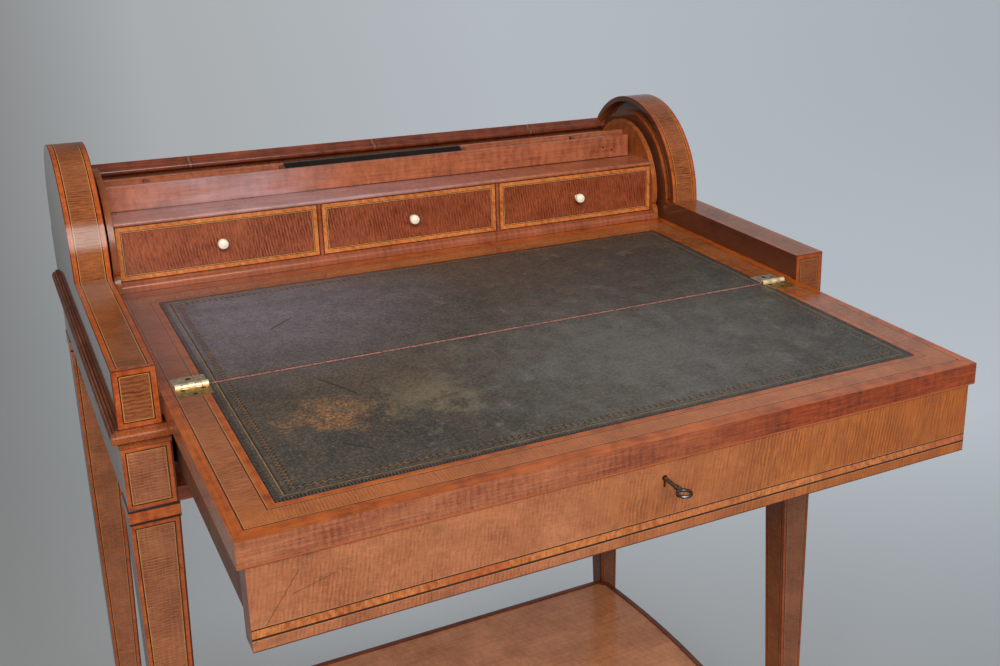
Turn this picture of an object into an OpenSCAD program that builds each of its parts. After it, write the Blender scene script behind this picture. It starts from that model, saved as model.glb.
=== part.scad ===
// Small cylinder desk, shown open: the leather flap is folded forward onto the
// pulled-out frieze drawer, and the coopered cylinder is turned back behind the
// nest of drawers. X runs across the desk, Y to the back and Z up. The origin is
// on the floor, under the middle of the open desk.

/* [Carcass] */
// Width over the legs and cheeks
body_w = 680; // [640:1:760]
// Depth over the legs
body_d = 470; // [460:1:500]
// Height of the writing surface
writing_h = 755; // [700:1:800]
// Depth of the frieze below the cheeks
frieze_h = 70; // [68:1:76]
// Thickness of the side aprons
apron_t = 20; // [16:1:22]
// Thickness of the back panel
back_t = 9; // [7:0.5:10]
// How far the back panel rises above the arms
back_rise = 47; // [38:1:50]
// Thickness of the board that closes the carcass below
bottom_t = 8; // [6:0.5:9]
// Depth of the rail under the drawer front
front_rail_d = 40; // [30:1:60]
// How far the waist moulding stands out
mould_out = 6; // [4:0.5:8]
// Height of the waist moulding
mould_h = 16; // [14:0.5:18]

/* [Legs] */
// Side of a leg at its top block
leg_top = 38; // [34:1:42]
// Side of a leg at the floor
leg_foot = 21; // [18:1:26]
// Height of the band under the block
neck_h = 13; // [8:1:18]
// How far that band stands out
neck_out = 0.8; // [0.4:0.1:1.5]

/* [Undershelf] */
// Height of the shelf's top above the floor
shelf_top = 153; // [110:1:190]
// Thickness of the shelf
shelf_t = 12; // [9:0.5:16]
// How far the shelf's front and back lie in from the legs' outer faces
shelf_in = 17; // [8:1:20]
// How far its sides bow out between the legs, to the line of the outer faces
shelf_bow = 15; // [8:0.5:18]
// How far a leg's inner corner is let into the shelf's canted corner
leg_let = 4; // [3:0.5:5]
// Width of the bead round the shelf
bead_w = 6.5; // [6:0.5:9]
// How far the bead stands above the shelf
bead_up = 2; // [1:0.5:4]

/* [Cheeks] */
// Thickness of the cheeks and their arms
cheek_t = 33; // [28:1:38]
// Height of the arms above the writing surface
arm_h = 25; // [23:0.5:28]
// Drop of the cheeks below the writing surface
cheek_drop = 24; // [22:0.5:27]
// Radius of the cheek's arch
arch_r = 109; // [104:1:112]
// Ledge behind the arch
ledge = 8; // [5:1:12]
// Wood left over the groove, as a rim
rim_t = 6; // [4:0.5:7]
// Depth of the groove in the cheek
groove_depth = 9; // [6:0.5:12]
// Play of the cylinder in its groove
groove_play = 0.4; // [0.3:0.1:0.8]
// Depth of the housing that holds the bed
housing = 5; // [3:0.5:8]

/* [Cylinder] */
// Thickness of the cylinder
shell_t = 14; // [12:0.5:16]
// Step of the cylinder's face above its ends
shell_step = 3; // [2:0.5:4]
// Arc of the cylinder, in degrees
shell_arc = 156; // [150:1:158]
// Angle of the leading edge when open, from the front horizontal
open_angle = 138; // [134:1:140]
// Width of the rail along the leading edge, in degrees
nosing_arc = 4; // [3:0.5:6]
// Radius of the bead on that rail
nosing_r = 3.4; // [2.5:0.1:4]

/* [Writing surface] */
// Thickness of the bed and the flap
bed_t = 19; // [18:0.5:21]
// How far the seam lies behind the front of the arms
seam_set = 5; // [3:0.5:8]
// Play between the flap and each arm
flap_play = 1.5; // [1:0.5:4]
// Width of the wooden border at the sides
border_side = 34; // [30:0.5:40]
// Width of the wooden border at the front
border_front = 39; // [34:0.5:44]
// Width of the wooden border before the nest
border_rear = 43; // [36:0.5:48]
// Thickness of the leather
leather_t = 1.2; // [0.8:0.1:2]
// Height of the hinge pins above the surface
pin_up = 0.5; // [0.4:0.1:0.8]

/* [Hinges] */
// Length of a hinge
hinge_w = 26; // [20:1:30]
// Depth of one leaf
leaf_d = 22; // [20:0.5:26]
// Thickness of a leaf
leaf_t = 1.5; // [1:0.1:2]
// Radius of the hinge barrel
barrel_r = 2.8; // [2.4:0.1:3.4]
// Radius of the hinge pin
pin_r = 1.2; // [0.9:0.1:1.4]
// Running clearance on the pin
pin_play = 0.05; // [0.03:0.01:0.08]
// Gap between the knuckles
knuckle_gap = 0.2; // [0.1:0.05:0.4]
// Distance of the hinge's outer end from the flap's end
hinge_in = 10.5; // [6:0.5:12]
// Distance of the two near screws from the seam
screw_near = 6.5; // [5.5:0.1:8]
// Distance of the far screw from the seam
screw_far = 16.5; // [13:0.5:18]
// Length of the hinge screws
screw_len = 9; // [6:0.5:14]

/* [Frieze drawer] */
// Height of the drawer front
front_h = 61.5; // [58:0.5:62]
// How far the front hangs below the drawer's sides
rail_lap = 12.5; // [10:0.5:14]
// Thickness of the drawer front
front_t = 20; // [18:0.5:22]
// Play beside the drawer front
front_play = 1.5; // [1:0.1:2.5]
// How far the drawer front sits behind the flap's front
front_set = 2; // [1:0.5:4]
// Thickness of the drawer's sides
side_t = 8; // [6:0.5:10]
// Thickness of the drawer's bottom
dbottom_t = 6; // [5:0.5:7]
// Play of the drawer on its runners and under the bed
slide_play = 0.4; // [0.3:0.1:0.8]
// Gap under the closed drawer front
front_gap = 1; // [0.6:0.1:2]
// Clear space between the drawer and the cylinder
drawer_clear = 10; // [6:0.5:14]

/* [Lock and key] */
// Depth of the keyhole below the drawer's top edge
key_drop = 13.5; // [12:0.5:14]
// Radius of the key's shank
key_r = 1.6; // [1.3:0.1:2]
// Reach of the key's bit from its axis
bit_reach = 7.5; // [6:0.1:8]
// Radial play round the key
key_play = 0.5; // [0.3:0.1:0.8]
// Thickness of the key's bit
bit_t = 1.2; // [0.8:0.1:1.6]
// Length of the key outside the drawer front
key_out = 34; // [28:0.5:38]
// Outer radius of the key's ring
bow_r = 6.5; // [5.5:0.5:9]
// Radius of the wire of that ring
wire_r = 1.3; // [1:0.1:1.6]
// Rise and fall of the bolt either side of rest
bolt_throw = 5; // [4:0.1:5.2]
// Width of the lock case
case_w = 56; // [46:1:70]
// Height of the lock case
case_h = 40; // [38:1:44]
// Depth of the lock case
case_d = 12; // [11:0.5:13]
// Wall of the lock case
case_t = 1.4; // [1:0.1:1.8]

/* [Nest] */
// Clear space between the nest and the cylinder
nest_clear = 15.5; // [14:0.5:20]
// Gap between a nest end and the cheek
nest_gap = 4; // [3:0.5:8]
// Thickness of the nest ends
nest_end_t = 6; // [5:0.5:8]
// Rise of the nest's arc above the cylinder's axis
nest_up = 6; // [4:0.5:7]
// How far the nest's arc lies ahead of the axis
nest_fore = 3; // [2:0.5:5]
// How far the foot stands out in front
foot_out = 2.5; // [1.5:0.5:4]
// Clear space between the folded flap and the nest
fold_gap = 2.5; // [1.5:0.5:5]
// Thickness of the nest's base
nest_base_t = 9; // [7:0.5:11]
// Height of the drawer bays
bay_h = 55; // [48:0.5:58]
// Thickness of the shelf over the drawers
nest_top_t = 4.5; // [3.5:0.5:6]
// Thickness of the partitions
partition_t = 4; // [3:0.5:6]
// Thickness of the nest's back board
nest_back_t = 5; // [4:0.5:8]
// How far the drawer faces lie behind the nest's front
face_set = 7; // [4:0.5:9]

/* [Small drawers] */
// Thickness of the small drawer fronts
small_front_t = 7; // [5:0.5:9]
// Play round the small drawers
small_play = 0.5; // [0.3:0.1:0.8]
// Thickness of their sides, back and bottom
small_side_t = 3.5; // [3:0.5:5]
// Free space behind the small drawers
small_back_gap = 4; // [2:0.5:8]
// Radius of the knobs
knob_r = 5.4; // [4:0.1:7]
// Radius of the knob's shank
knob_shank_r = 2; // [1.5:0.1:2.5]

/* [Letter rack] */
// Height of the rack's front board
rack_h = 26; // [20:0.5:28]
// Thickness of the rack's boards
rack_t = 5; // [3:0.5:6]
// Distance of the rack's front board behind the drawer faces
rack_set = 41; // [34:0.5:50]
// Width of the rack's compartments from front to back
rack_gap = 23; // [16:0.5:26]
// How far the front board stops short of the right end
rack_short = 8; // [4:0.5:14]

/* [Hidden] */
$fn = 64;

// Finishes
satinwood = [0.62, 0.36, 0.19];
mahogany = [0.48, 0.23, 0.13];
oak = [0.60, 0.42, 0.24];
hide = [0.20, 0.21, 0.20];
brass = [0.78, 0.62, 0.32];
steel = [0.42, 0.41, 0.42];
bone = [0.90, 0.86, 0.74];

// Small allowance that keeps a cut clear of the face it opens
eps = 0.01;

// How far the frieze drawer's sides lie in from the legs
side_in = 4;
// How far shelf, back panel and bottom lie in from the outer faces
face_in = 1;
// Half of the gap at the seam between bed and flap
seam_gap = 0.3;
// Wood left in front of the drawer's dovetails
tail_lap = 6;
// How far the cylinder's face and nosing stop short of the cheeks
shell_gap = 0.6;

// Widths
half_w = body_w / 2;
gap_half = half_w - cheek_t;
leg_in = half_w - leg_top;
flap_half = gap_half - flap_play;
front_half = leg_in - front_play;
drawer_half = leg_in - side_in;
nest_half = gap_half - nest_gap;
nest_in = nest_half - nest_end_t;

// Heights
surface_z = writing_h;
arm_z = surface_z + arm_h;
cheek_z = surface_z - cheek_drop;
block_z = cheek_z - frieze_h;
neck_z = block_z - neck_h;
bed_z = surface_z - bed_t;
mould_z = cheek_z - mould_h;

// Cylinder radii: the rim of the cheek, the face, and the ends in the groove
groove_ro = arch_r - rim_t;
shell_end_r = groove_ro - groove_play;
shell_ro = shell_end_r + shell_step;
shell_ri = shell_ro - shell_t;
groove_ri = shell_ri - groove_play;
nest_r = shell_ri - nest_clear;
trail_angle = open_angle + shell_arc;

// Depths, from the front of the open desk to the back
flap_reach = body_d - ledge - arch_r - nest_fore - nest_r - foot_out - fold_gap;
flap_d = flap_reach - seam_set;
drawer_travel = flap_d - seam_set - front_set;
front_reach = drawer_travel + key_out;
front_y = (front_reach - body_d) / 2;
rear_y = front_y + body_d;
axis_y = rear_y - ledge - arch_r;
axis_z = arm_z;
seam_y = front_y + seam_set;
pin_z = surface_z + pin_up;
flap_front = seam_y - flap_d;
face_y = front_y - drawer_travel;
drawer_rear = axis_y - shell_ro * cos(trail_angle) - drawer_clear - drawer_travel;
runner_rear = drawer_rear + drawer_travel;

// Frieze drawer heights: its sides stop side_drop below its front, its back
// back_drop, and its bottom runs in a groove groove_up above its foot
side_drop = 2;
back_drop = 4;
groove_up = 2;
bottom_room = 2.5;
drawer_top = bed_z - slide_play;
drawer_foot = drawer_top - front_h;
side_foot = drawer_foot + rail_lap;
rail_top = side_foot - slide_play;
bottom_top = axis_z - shell_ro - bottom_room;
bottom_in = 3;
side_top = drawer_top - side_drop;
bottom_foot = side_foot + groove_up;
rail_y = front_y + front_t + face_in;
rail_rear = rail_y + front_rail_d;

// Nest: its rear is cut off upright nest_cut before the end of its arc, and
// the bed runs bed_past further
nest_cut = 14;
bed_past = 6;
small_drop = 4;
nest_y = axis_y - nest_fore;
nest_z = axis_z + nest_up;
nest_front = nest_y - nest_r - foot_out;
bulge_y = nest_y - nest_r;
small_y = bulge_y + face_set;
nest_rear = nest_y + nest_r - nest_cut;
bed_rear = nest_rear + bed_past;
base_top = surface_z + nest_base_t;
bay_top = base_top + bay_h;
shelf_z = bay_top + nest_top_t;
bay_w = (2 * nest_in - 2 * partition_t) / 3;
bay_pitch = bay_w + partition_t;
rack_y = small_y + rack_set;
rack_back_y = rack_y + rack_t + rack_gap;
small_rear = nest_rear - nest_back_t - small_back_gap;
small_top = bay_top - small_play - small_drop;
divider_shares = [-0.86, -0.4, 0.29, 0.76];

// Lock
key_z = drawer_top - key_drop;
case_y = face_y + front_t - case_d;
case_foot = drawer_top - case_h;
bolt_d = 5;
bolt_set = 3;
bolt_y = case_y + bolt_set;
bolt_half = 13;
bolt_leg = 4;
bolt_drop = 12;
bolt_top = drawer_top - 0.8;
bolt_bar_z = key_z + bit_reach + 0.6;
bolt_foot = key_z - bolt_drop;
bolt_play = 0.5;

// Hinges
knuckles = 5;
hinge_x0 = flap_half - hinge_in - hinge_w;
knuckle_w = hinge_w / knuckles;
knuckle_play = 0.3;
barrel_play = 0.4;
screw_r = 1.1;
screw_head_r = 2.2;

// Draws children in the (y, z) plane and carries them along x
module along_x(x0, w) {
    translate([x0, 0, 0]) rotate([90, 0, 90]) linear_extrude(w) children();
}

// Draws children in the (x, z) plane and carries them along y
module along_y(y0, d) {
    translate([0, y0 + d, 0]) rotate([90, 0, 0]) linear_extrude(d) children();
}

// A board between two corners
module board(x0, x1, y0, y1, z0, z1) {
    translate([x0, y0, z0]) cube([x1 - x0, y1 - y0, z1 - z0]);
}

// Right-hand children, mirrored for the left side
module on_side(side) {
    mirror([side < 0 ? 1 : 0, 0, 0]) children();
}

// A ring round the cylinder's axis, from angle a0 to a1, counted from the
// back over the top to the front
module axis_ring(r0, r1, x0, x1, a0, a1) {
    translate([x0, axis_y, axis_z]) rotate([90, 0, 90]) rotate([0, 0, a0])
        rotate_extrude(angle = a1 - a0, $fn = 128) translate([r0, 0]) square([r1 - r0, x1 - x0]);
}

// Leg with its outer corner at the origin: the outer faces are upright and the
// two inner faces taper from the block to the foot
module leg_shape() {
    side = [
        [0, 0], [leg_foot, 0], [leg_top, neck_z], [leg_top, cheek_z], [0, cheek_z]
    ];
    intersection() {
        along_y(0, leg_top) polygon(side);
        along_x(0, leg_top) polygon(side);
    }
    board(-neck_out, leg_top + neck_out, -neck_out, leg_top + neck_out, neck_z, block_z);
}

// Puts a leg at a corner of the desk
module leg_at(side, end) {
    translate([side * half_w, end < 0 ? front_y : rear_y, 0])
        mirror([side > 0 ? 1 : 0, 0, 0]) mirror([0, end > 0 ? 1 : 0, 0]) leg_shape();
}

// The room that the turning cylinder takes inside the carcass
module cylinder_room() {
    reach = gap_half + groove_depth + 1;
    axis_ring(0, shell_ro + 1, -reach, reach, 0, 360);
}

module leg(side, end) {
    color(satinwood) difference() {
        leg_at(side, end);
        cylinder_room();
    }
}

module apron(side) {
    color(mahogany) on_side(side)
        board(half_w - apron_t, half_w, front_y + leg_top, rear_y - leg_top, block_z, cheek_z);
}

module back_panel() {
    x1 = leg_in;
    x2 = gap_half;
    foot = bottom_top;
    top = axis_z + back_rise;
    color(mahogany) along_y(rear_y - back_t - face_in, back_t)
        polygon([[-x1, foot], [x1, foot], [x1, cheek_z], [x2, cheek_z], [x2, top], [-x2, top],
                 [-x2, cheek_z], [-x1, cheek_z]]);
}

module carcass_bottom() {
    x1 = leg_in;
    x2 = half_w - apron_t;
    y2 = rear_y - leg_top;
    color(oak) translate([0, 0, bottom_top - bottom_t]) linear_extrude(bottom_t)
        polygon([[-x2, rail_rear], [x2, rail_rear], [x2, y2], [x1, y2], [x1, rear_y - face_in],
                 [-x1, rear_y - face_in], [-x1, y2], [-x2, y2]]);
}

// The rail is flush with the legs below the drawer front, and steps up behind it
module front_rail() {
    lip = drawer_foot - front_gap;
    color(mahogany) along_x(-leg_in, 2 * leg_in)
        polygon([[front_y, block_z], [rail_rear, block_z], [rail_rear, rail_top], [rail_y, rail_top],
                 [rail_y, lip], [front_y, lip]]);
}

// Runner and guide in one piece: the drawer's side rides on its tread and
// against its upright
module drawer_runner(side) {
    tread = drawer_half - side_t - 2;
    guide = drawer_half + slide_play;
    wall = half_w - apron_t;
    color(oak) on_side(side) along_y(rail_rear, runner_rear - rail_rear)
        polygon([[tread, bottom_top], [wall, bottom_top], [wall, cheek_z], [guide, cheek_z],
                 [guide, rail_top], [tread, rail_top]]);
}

// Cyma and fillet of the waist moulding: u runs outwards, v up
module mould_profile() {
    polygon(concat(
        [[0, 0], [0, mould_h], [mould_out * 0.35, mould_h]],
        [for (a = [90:-15:0]) [mould_out * (0.35 + 0.65 * cos(a)), mould_h * (0.62 + 0.28 * sin(a))]],
        [[mould_out, mould_h * 0.5]],
        [for (a = [0:15:75]) [mould_out * (1 - 0.75 * sin(a)), mould_h * (0.14 + 0.3 * cos(a))]],
        [[mould_out * 0.2, mould_h * 0.12], [mould_out * 0.2, 0]]
    ));
}

// The moulding runs along the side and returns, mitred, across the leg's front
module waist_moulding(side) {
    o = mould_out;
    color(mahogany) on_side(side) union() {
        intersection() {
            along_y(front_y - o, body_d + o) translate([half_w, mould_z]) mould_profile();
            translate([0, 0, mould_z - 1]) linear_extrude(mould_h + 2)
                polygon([[half_w, front_y], [half_w + o, front_y - o], [half_w + o, rear_y],
                         [half_w, rear_y]]);
        }
        intersection() {
            along_x(leg_in, leg_top + o) translate([front_y, mould_z]) mirror([1, 0]) mould_profile();
            translate([0, 0, mould_z - 1]) linear_extrude(mould_h + 2)
                polygon([[leg_in, front_y], [half_w, front_y], [half_w + o, front_y - o],
                         [leg_in, front_y - o]]);
        }
    }
}

// Everything that the four legs fill, to notch the shelf round them
module all_legs() {
    for (side = [-1, 1]) for (end = [-1, 1]) leg_at(side, end);
}

// A slab between two heights with canted corners and bowed sides, its edges
// set in from the shelf's outline
module shelf_block(z0, z1, inset) {
    leg_w = leg_foot + (leg_top - leg_foot) * shelf_top / neck_z;
    cant = half_w + body_d / 2 - 2 * leg_w + leg_let * sqrt(2);
    half_side = cant - half_w + shelf_bow;
    side_r = (half_side * half_side + shelf_bow * shelf_bow) / (2 * shelf_bow);
    c = cant - inset * sqrt(2);
    y1 = body_d / 2 - shelf_in - inset;
    y2 = c - half_w;
    translate([0, (front_y + rear_y) / 2, z0]) intersection() {
        linear_extrude(z1 - z0)
            polygon([[c - y1, y1], [half_w, y2], [half_w, -y2], [c - y1, -y1],
                     [y1 - c, -y1], [-half_w, -y2], [-half_w, y2], [y1 - c, y1]]);
        translate([half_w - side_r, 0, 0]) cylinder(r = side_r - inset, h = z1 - z0, $fn = 256);
        translate([side_r - half_w, 0, 0]) cylinder(r = side_r - inset, h = z1 - z0, $fn = 256);
    }
}

module undershelf() {
    color(satinwood) difference() {
        shelf_block(shelf_top - shelf_t, shelf_top, 0);
        all_legs();
    }
}

module undershelf_bead() {
    color(mahogany) difference() {
        shelf_block(shelf_top, shelf_top + bead_up, 0);
        shelf_block(shelf_top - 1, shelf_top + bead_up + 1, bead_w);
        all_legs();
    }
}

module cheek_outline() {
    translate([front_y, cheek_z]) square([body_d, axis_z - cheek_z]);
    intersection() {
        translate([axis_y, axis_z]) circle(arch_r, $fn = 128);
        translate([axis_y - arch_r - 1, axis_z]) square([2 * arch_r + 2, arch_r + 1]);
    }
}

// Cheek with its arm, the curved groove for the cylinder's end and the housing
// for the bed
module cheek(side) {
    color(satinwood) on_side(side) difference() {
        along_x(gap_half, cheek_t) cheek_outline();
        axis_ring(groove_ri, groove_ro, gap_half - 1, gap_half + groove_depth + groove_play,
                  180 - trail_angle - 3, 182);
        board(gap_half - 1, gap_half + housing, seam_y + seam_gap, bed_rear, bed_z, surface_z);
    }
}

// The bolt's mortise under a board, at the bolt's place y
module bolt_mortise(y) {
    board(-bolt_half - 1, bolt_half + 1, y - bolt_play, y + bolt_d + bolt_play,
          bed_z - 1, bed_z + bolt_throw + 0.4);
}

// Hollow for one hinge's barrel, along the seam
module barrel_room(side) {
    on_side(side) translate([hinge_x0 - barrel_play, seam_y, pin_z]) rotate([0, 90, 0])
        cylinder(h = hinge_w + 2 * barrel_play, r = barrel_r + barrel_play);
}

module bed_board() {
    y1 = seam_y + seam_gap;
    color(mahogany) difference() {
        board(-gap_half - housing, gap_half + housing, y1, bed_rear, bed_z, surface_z);
        board(-flap_half + border_side, flap_half - border_side, y1 - 1, nest_front - border_rear,
              surface_z - leather_t, surface_z + 1);
        bolt_mortise(bolt_y + drawer_travel);
        for (side = [-1, 1]) {
            barrel_room(side);
            leaf_bed(side, 1);
            screws(side, 1);
        }
    }
}

module bed_leather() {
    color(hide) difference() {
        board(-flap_half + border_side, flap_half - border_side, seam_y + seam_gap, nest_front - border_rear,
              surface_z - leather_t, surface_z);
        for (side = [-1, 1]) {
            barrel_room(side);
            leaf_bed(side, 1);
        }
    }
}

module flap_board() {
    y1 = seam_y - seam_gap;
    color(mahogany) difference() {
        board(-flap_half, flap_half, flap_front, y1, bed_z, surface_z);
        board(-flap_half + border_side, flap_half - border_side, flap_front + border_front, y1 + 1,
              surface_z - leather_t, surface_z + 1);
        bolt_mortise(bolt_y);
        for (side = [-1, 1]) {
            barrel_room(side);
            leaf_bed(side, -1);
            screws(side, -1);
        }
    }
}

module flap_leather() {
    color(hide) difference() {
        board(-flap_half + border_side, flap_half - border_side, flap_front + border_front, seam_y - seam_gap,
              surface_z - leather_t, surface_z);
        for (side = [-1, 1]) {
            barrel_room(side);
            leaf_bed(side, -1);
        }
    }
}

// The sinking that a leaf lies in; end is 1 on the bed and -1 on the flap
module leaf_bed(side, end) {
    on_side(side) translate([hinge_x0, seam_y, surface_z - leaf_t])
        mirror([0, end < 0 ? 1 : 0, 0]) translate([0, -1, 0]) cube([hinge_w, leaf_d + 1, leaf_t + 1]);
}

// Knuckle number i of a hinge, as a rod of radius r
module knuckle(i, r, gap) {
    translate([hinge_x0 + i * knuckle_w + gap / 2, seam_y, pin_z]) rotate([0, 90, 0])
        cylinder(h = knuckle_w - gap, r = r);
}

// Leaf and its knuckles: end is 1 on the bed and -1 on the flap, and first is
// the number of its first knuckle
module hinge_leaf(end, first) {
    others = 1 - first;
    difference() {
        union() {
            translate([hinge_x0, seam_y, surface_z - leaf_t])
                mirror([0, end < 0 ? 1 : 0, 0]) cube([hinge_w, leaf_d, leaf_t]);
            for (i = [first:2:knuckles - 1]) knuckle(i, barrel_r, knuckle_gap);
        }
        for (i = [others:2:knuckles - 1]) knuckle(i, barrel_r + knuckle_play, -knuckle_gap);
        translate([hinge_x0 - 1, seam_y, pin_z]) rotate([0, 90, 0])
            cylinder(h = hinge_w + 2, r = pin_r + (end < 0 ? pin_play : 0));
        screws(1, end);
    }
}

module hinge_bed_leaves() {
    color(brass) for (side = [-1, 1]) on_side(side) hinge_leaf(1, 0);
}

module hinge_flap_leaves() {
    color(brass) for (side = [-1, 1]) on_side(side) hinge_leaf(-1, 1);
}

module hinge_pins() {
    color(steel) for (side = [-1, 1]) on_side(side)
        translate([hinge_x0, seam_y, pin_z]) rotate([0, 90, 0]) cylinder(h = hinge_w, r = pin_r);
}

// Three countersunk screws in one leaf, two near the seam and one far
module screws(side, end) {
    places = [[0.2, screw_near], [0.8, screw_near], [0.5, screw_far]];
    on_side(side) for (p = places)
        translate([hinge_x0 + hinge_w * p[0], seam_y + end * p[1], surface_z]) screw();
}

module screw() {
    head = screw_head_r - screw_r;
    translate([0, 0, -screw_len]) cylinder(h = screw_len - head + eps, r = screw_r, $fn = 24);
    translate([0, 0, -head]) cylinder(h = head, r1 = screw_r, r2 = screw_head_r, $fn = 24);
}

module hinge_bed_screws() {
    color(brass) for (side = [-1, 1]) screws(side, 1);
}

module hinge_flap_screws() {
    color(brass) for (side = [-1, 1]) screws(side, -1);
}

// Keyhole: a round hole with a slot below it for the bit
module keyhole(y0, y1) {
    translate([0, y0, key_z]) rotate([-90, 0, 0]) cylinder(h = y1 - y0, r = key_r + key_play);
    board(-bit_t / 2 - 0.2, bit_t / 2 + 0.2, y0, y1, key_z - bit_reach - 0.2, key_z);
}

module drawer_front() {
    color(satinwood) difference() {
        board(-front_half, front_half, face_y, face_y + front_t, drawer_foot, drawer_top);
        board(-case_w / 2, case_w / 2, case_y, face_y + front_t + 1, case_foot, drawer_top + 1);
        keyhole(face_y - 1, case_y + 1);
        for (side = [-1, 1]) on_side(side) dovetails(0);
    }
}

// Lapped dovetails on the front end of a drawer's side, which reach back into
// the side by grow; the sockets in the front have none of it
module dovetails(grow) {
    tails = 3;
    tail_d = front_t - tail_lap;
    pitch = (side_top - side_foot) / tails;
    neck = pitch * 0.26;
    wide = pitch * 0.36;
    y1 = face_y + front_t;
    along_x(drawer_half - side_t, side_t) for (i = [0:tails - 1])
        translate([y1, side_foot + (i + 0.5) * pitch])
            polygon([[grow, -neck], [grow, neck], [0, neck], [-tail_d, wide], [-tail_d, -wide], [0, -neck]]);
}

module drawer_side(side) {
    y1 = face_y + front_t;
    color(oak) on_side(side) {
        difference() {
            union() {
                board(drawer_half - side_t, drawer_half, y1, drawer_rear, side_foot, side_top);
                dovetails(1);
            }
            board(drawer_half - side_t - 1, drawer_half - side_t + bottom_in, y1, drawer_rear + 1,
                  bottom_foot, bottom_foot + dbottom_t);
        }
    }
}

module drawer_back() {
    w = drawer_half - side_t;
    color(oak)
        board(-w, w, drawer_rear - side_t, drawer_rear, bottom_foot + dbottom_t, drawer_top - back_drop);
}

module drawer_bottom() {
    w = drawer_half - side_t + bottom_in;
    color(oak) board(-w, w, face_y + front_t, drawer_rear, bottom_foot, bottom_foot + dbottom_t);
}

// Lock case let into the back of the drawer front: open inside for the bolt
// and the key's bit
module lock_case() {
    x = case_w / 2;
    y1 = face_y + front_t;
    color(brass) difference() {
        board(-x, x, case_y, y1, case_foot, drawer_top);
        board(-bolt_half - 1, bolt_half + 1, case_y + case_t, y1 - case_t, case_foot + case_t,
              drawer_top - case_t);
        board(-bolt_half - bolt_play, bolt_half + bolt_play, bolt_y - bolt_play, bolt_y + bolt_d + bolt_play,
              drawer_top - case_t - 1, drawer_top + 1);
        keyhole(case_y - 1, case_y + case_t + 1);
    }
}

// The bolt straddles the key: a bar above and a leg on each side
module lock_bolt() {
    in_x = bolt_half - bolt_leg;
    color(brass) along_y(bolt_y, bolt_d)
        polygon([[-bolt_half, bolt_foot], [-in_x, bolt_foot], [-in_x, bolt_bar_z], [in_x, bolt_bar_z],
                 [in_x, bolt_foot], [bolt_half, bolt_foot], [bolt_half, bolt_top], [-bolt_half, bolt_top]]);
}

// Ring bow lying flat, a collared shank and a bit, which points to the side
// while the lock is open
module key() {
    front = face_y - key_out;
    neck = front + 2 * bow_r;
    tip = case_y + case_d - case_t - 1;
    color(steel) {
        translate([0, front + bow_r, key_z]) rotate_extrude()
            translate([bow_r - wire_r, 0]) circle(wire_r, $fn = 32);
        translate([0, neck - wire_r, key_z]) rotate([-90, 0, 0]) cylinder(h = tip - neck + wire_r, r = key_r);
        translate([0, neck - 0.4, key_z]) rotate([-90, 0, 0]) cylinder(h = 1.6, r = key_r + 0.8);
        translate([0, neck + 4, key_z]) rotate([-90, 0, 0]) cylinder(h = 1.2, r = key_r + 0.5);
        board(-bit_reach, 0, bolt_y + 0.3, bolt_y + bolt_d - 0.3, key_z - bit_t / 2, key_z + bit_t / 2);
    }
}

// Solid cylinder fall with rebated ends, turned back to its open place
module cylinder_shell() {
    reach = gap_half + groove_depth;
    a0 = 180 - trail_angle;
    a1 = 180 - open_angle - nosing_arc;
    color(satinwood) {
        axis_ring(shell_ri, shell_end_r, -reach, reach, a0, a1);
        axis_ring(shell_ri + 1, shell_ro, -gap_half + shell_gap, gap_half - shell_gap, a0, a1);
    }
}

// Rail and bead along the leading edge
module cylinder_nosing() {
    x = gap_half - shell_gap;
    a1 = 180 - open_angle;
    color(mahogany) {
        axis_ring(shell_ri, shell_ro, -x, x, a1 - nosing_arc, a1);
        translate([-x, axis_y, axis_z]) rotate([90, 0, 90]) rotate([0, 0, a1])
            translate([shell_ri + nosing_r / 2, 0, 0]) cylinder(h = 2 * x, r = nosing_r);
    }
}

// D-shaped end: an arc above, an ogee foot in front and a plain rear edge
module nest_end_outline() {
    foot = 4;
    run = 4;
    turn = 14;
    waist = nest_z - surface_z - turn;
    top = nest_z + nest_r + 1;
    intersection() {
        union() {
            translate([nest_y, nest_z]) circle(nest_r, $fn = 128);
            translate([nest_front - 1, surface_z]) square([2 * nest_r + foot_out + 2, nest_z - surface_z]);
        }
        polygon(concat(
            [[nest_rear, surface_z], [nest_front, surface_z], [nest_front, surface_z + foot]],
            [for (a = [0:15:90]) [bulge_y + run - (foot_out + run) * cos(a),
                                  surface_z + foot + (waist - foot) * sin(a)]],
            [for (a = [15:15:90]) [bulge_y + run * (1 - sin(a)), surface_z + waist + turn * (1 - cos(a))]],
            [[bulge_y, top], [nest_y + nest_r, top], [nest_y + nest_r, nest_z], [nest_rear, surface_z + turn]]
        ));
    }
}

module nest_end(side) {
    color(oak) on_side(side) along_x(nest_in, nest_end_t) nest_end_outline();
}

// Base of the nest with a small cyma along its front
module nest_base() {
    t = nest_base_t;
    run = small_y - nest_front;
    color(mahogany) along_x(-nest_in, 2 * nest_in)
        polygon(concat(
            [[nest_rear, surface_z], [nest_front, surface_z], [nest_front, surface_z + t * 0.45]],
            [for (a = [90:-15:0]) [nest_front + run * 0.5 * (1 - sin(a)),
                                   surface_z + t * (0.45 + 0.45 * cos(a))]],
            [[nest_front + run * 0.5, surface_z + t], [nest_rear, surface_z + t]]
        ));
}

module nest_top() {
    color(mahogany) {
        board(-nest_in, nest_in, small_y, nest_rear, bay_top, shelf_z);
        translate([-nest_in, small_y, (bay_top + shelf_z) / 2]) rotate([0, 90, 0])
            cylinder(h = 2 * nest_in, r = nest_top_t / 2);
    }
}

module nest_back() {
    color(oak) board(-nest_in, nest_in, nest_rear - nest_back_t, nest_rear, base_top, bay_top);
}

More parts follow.
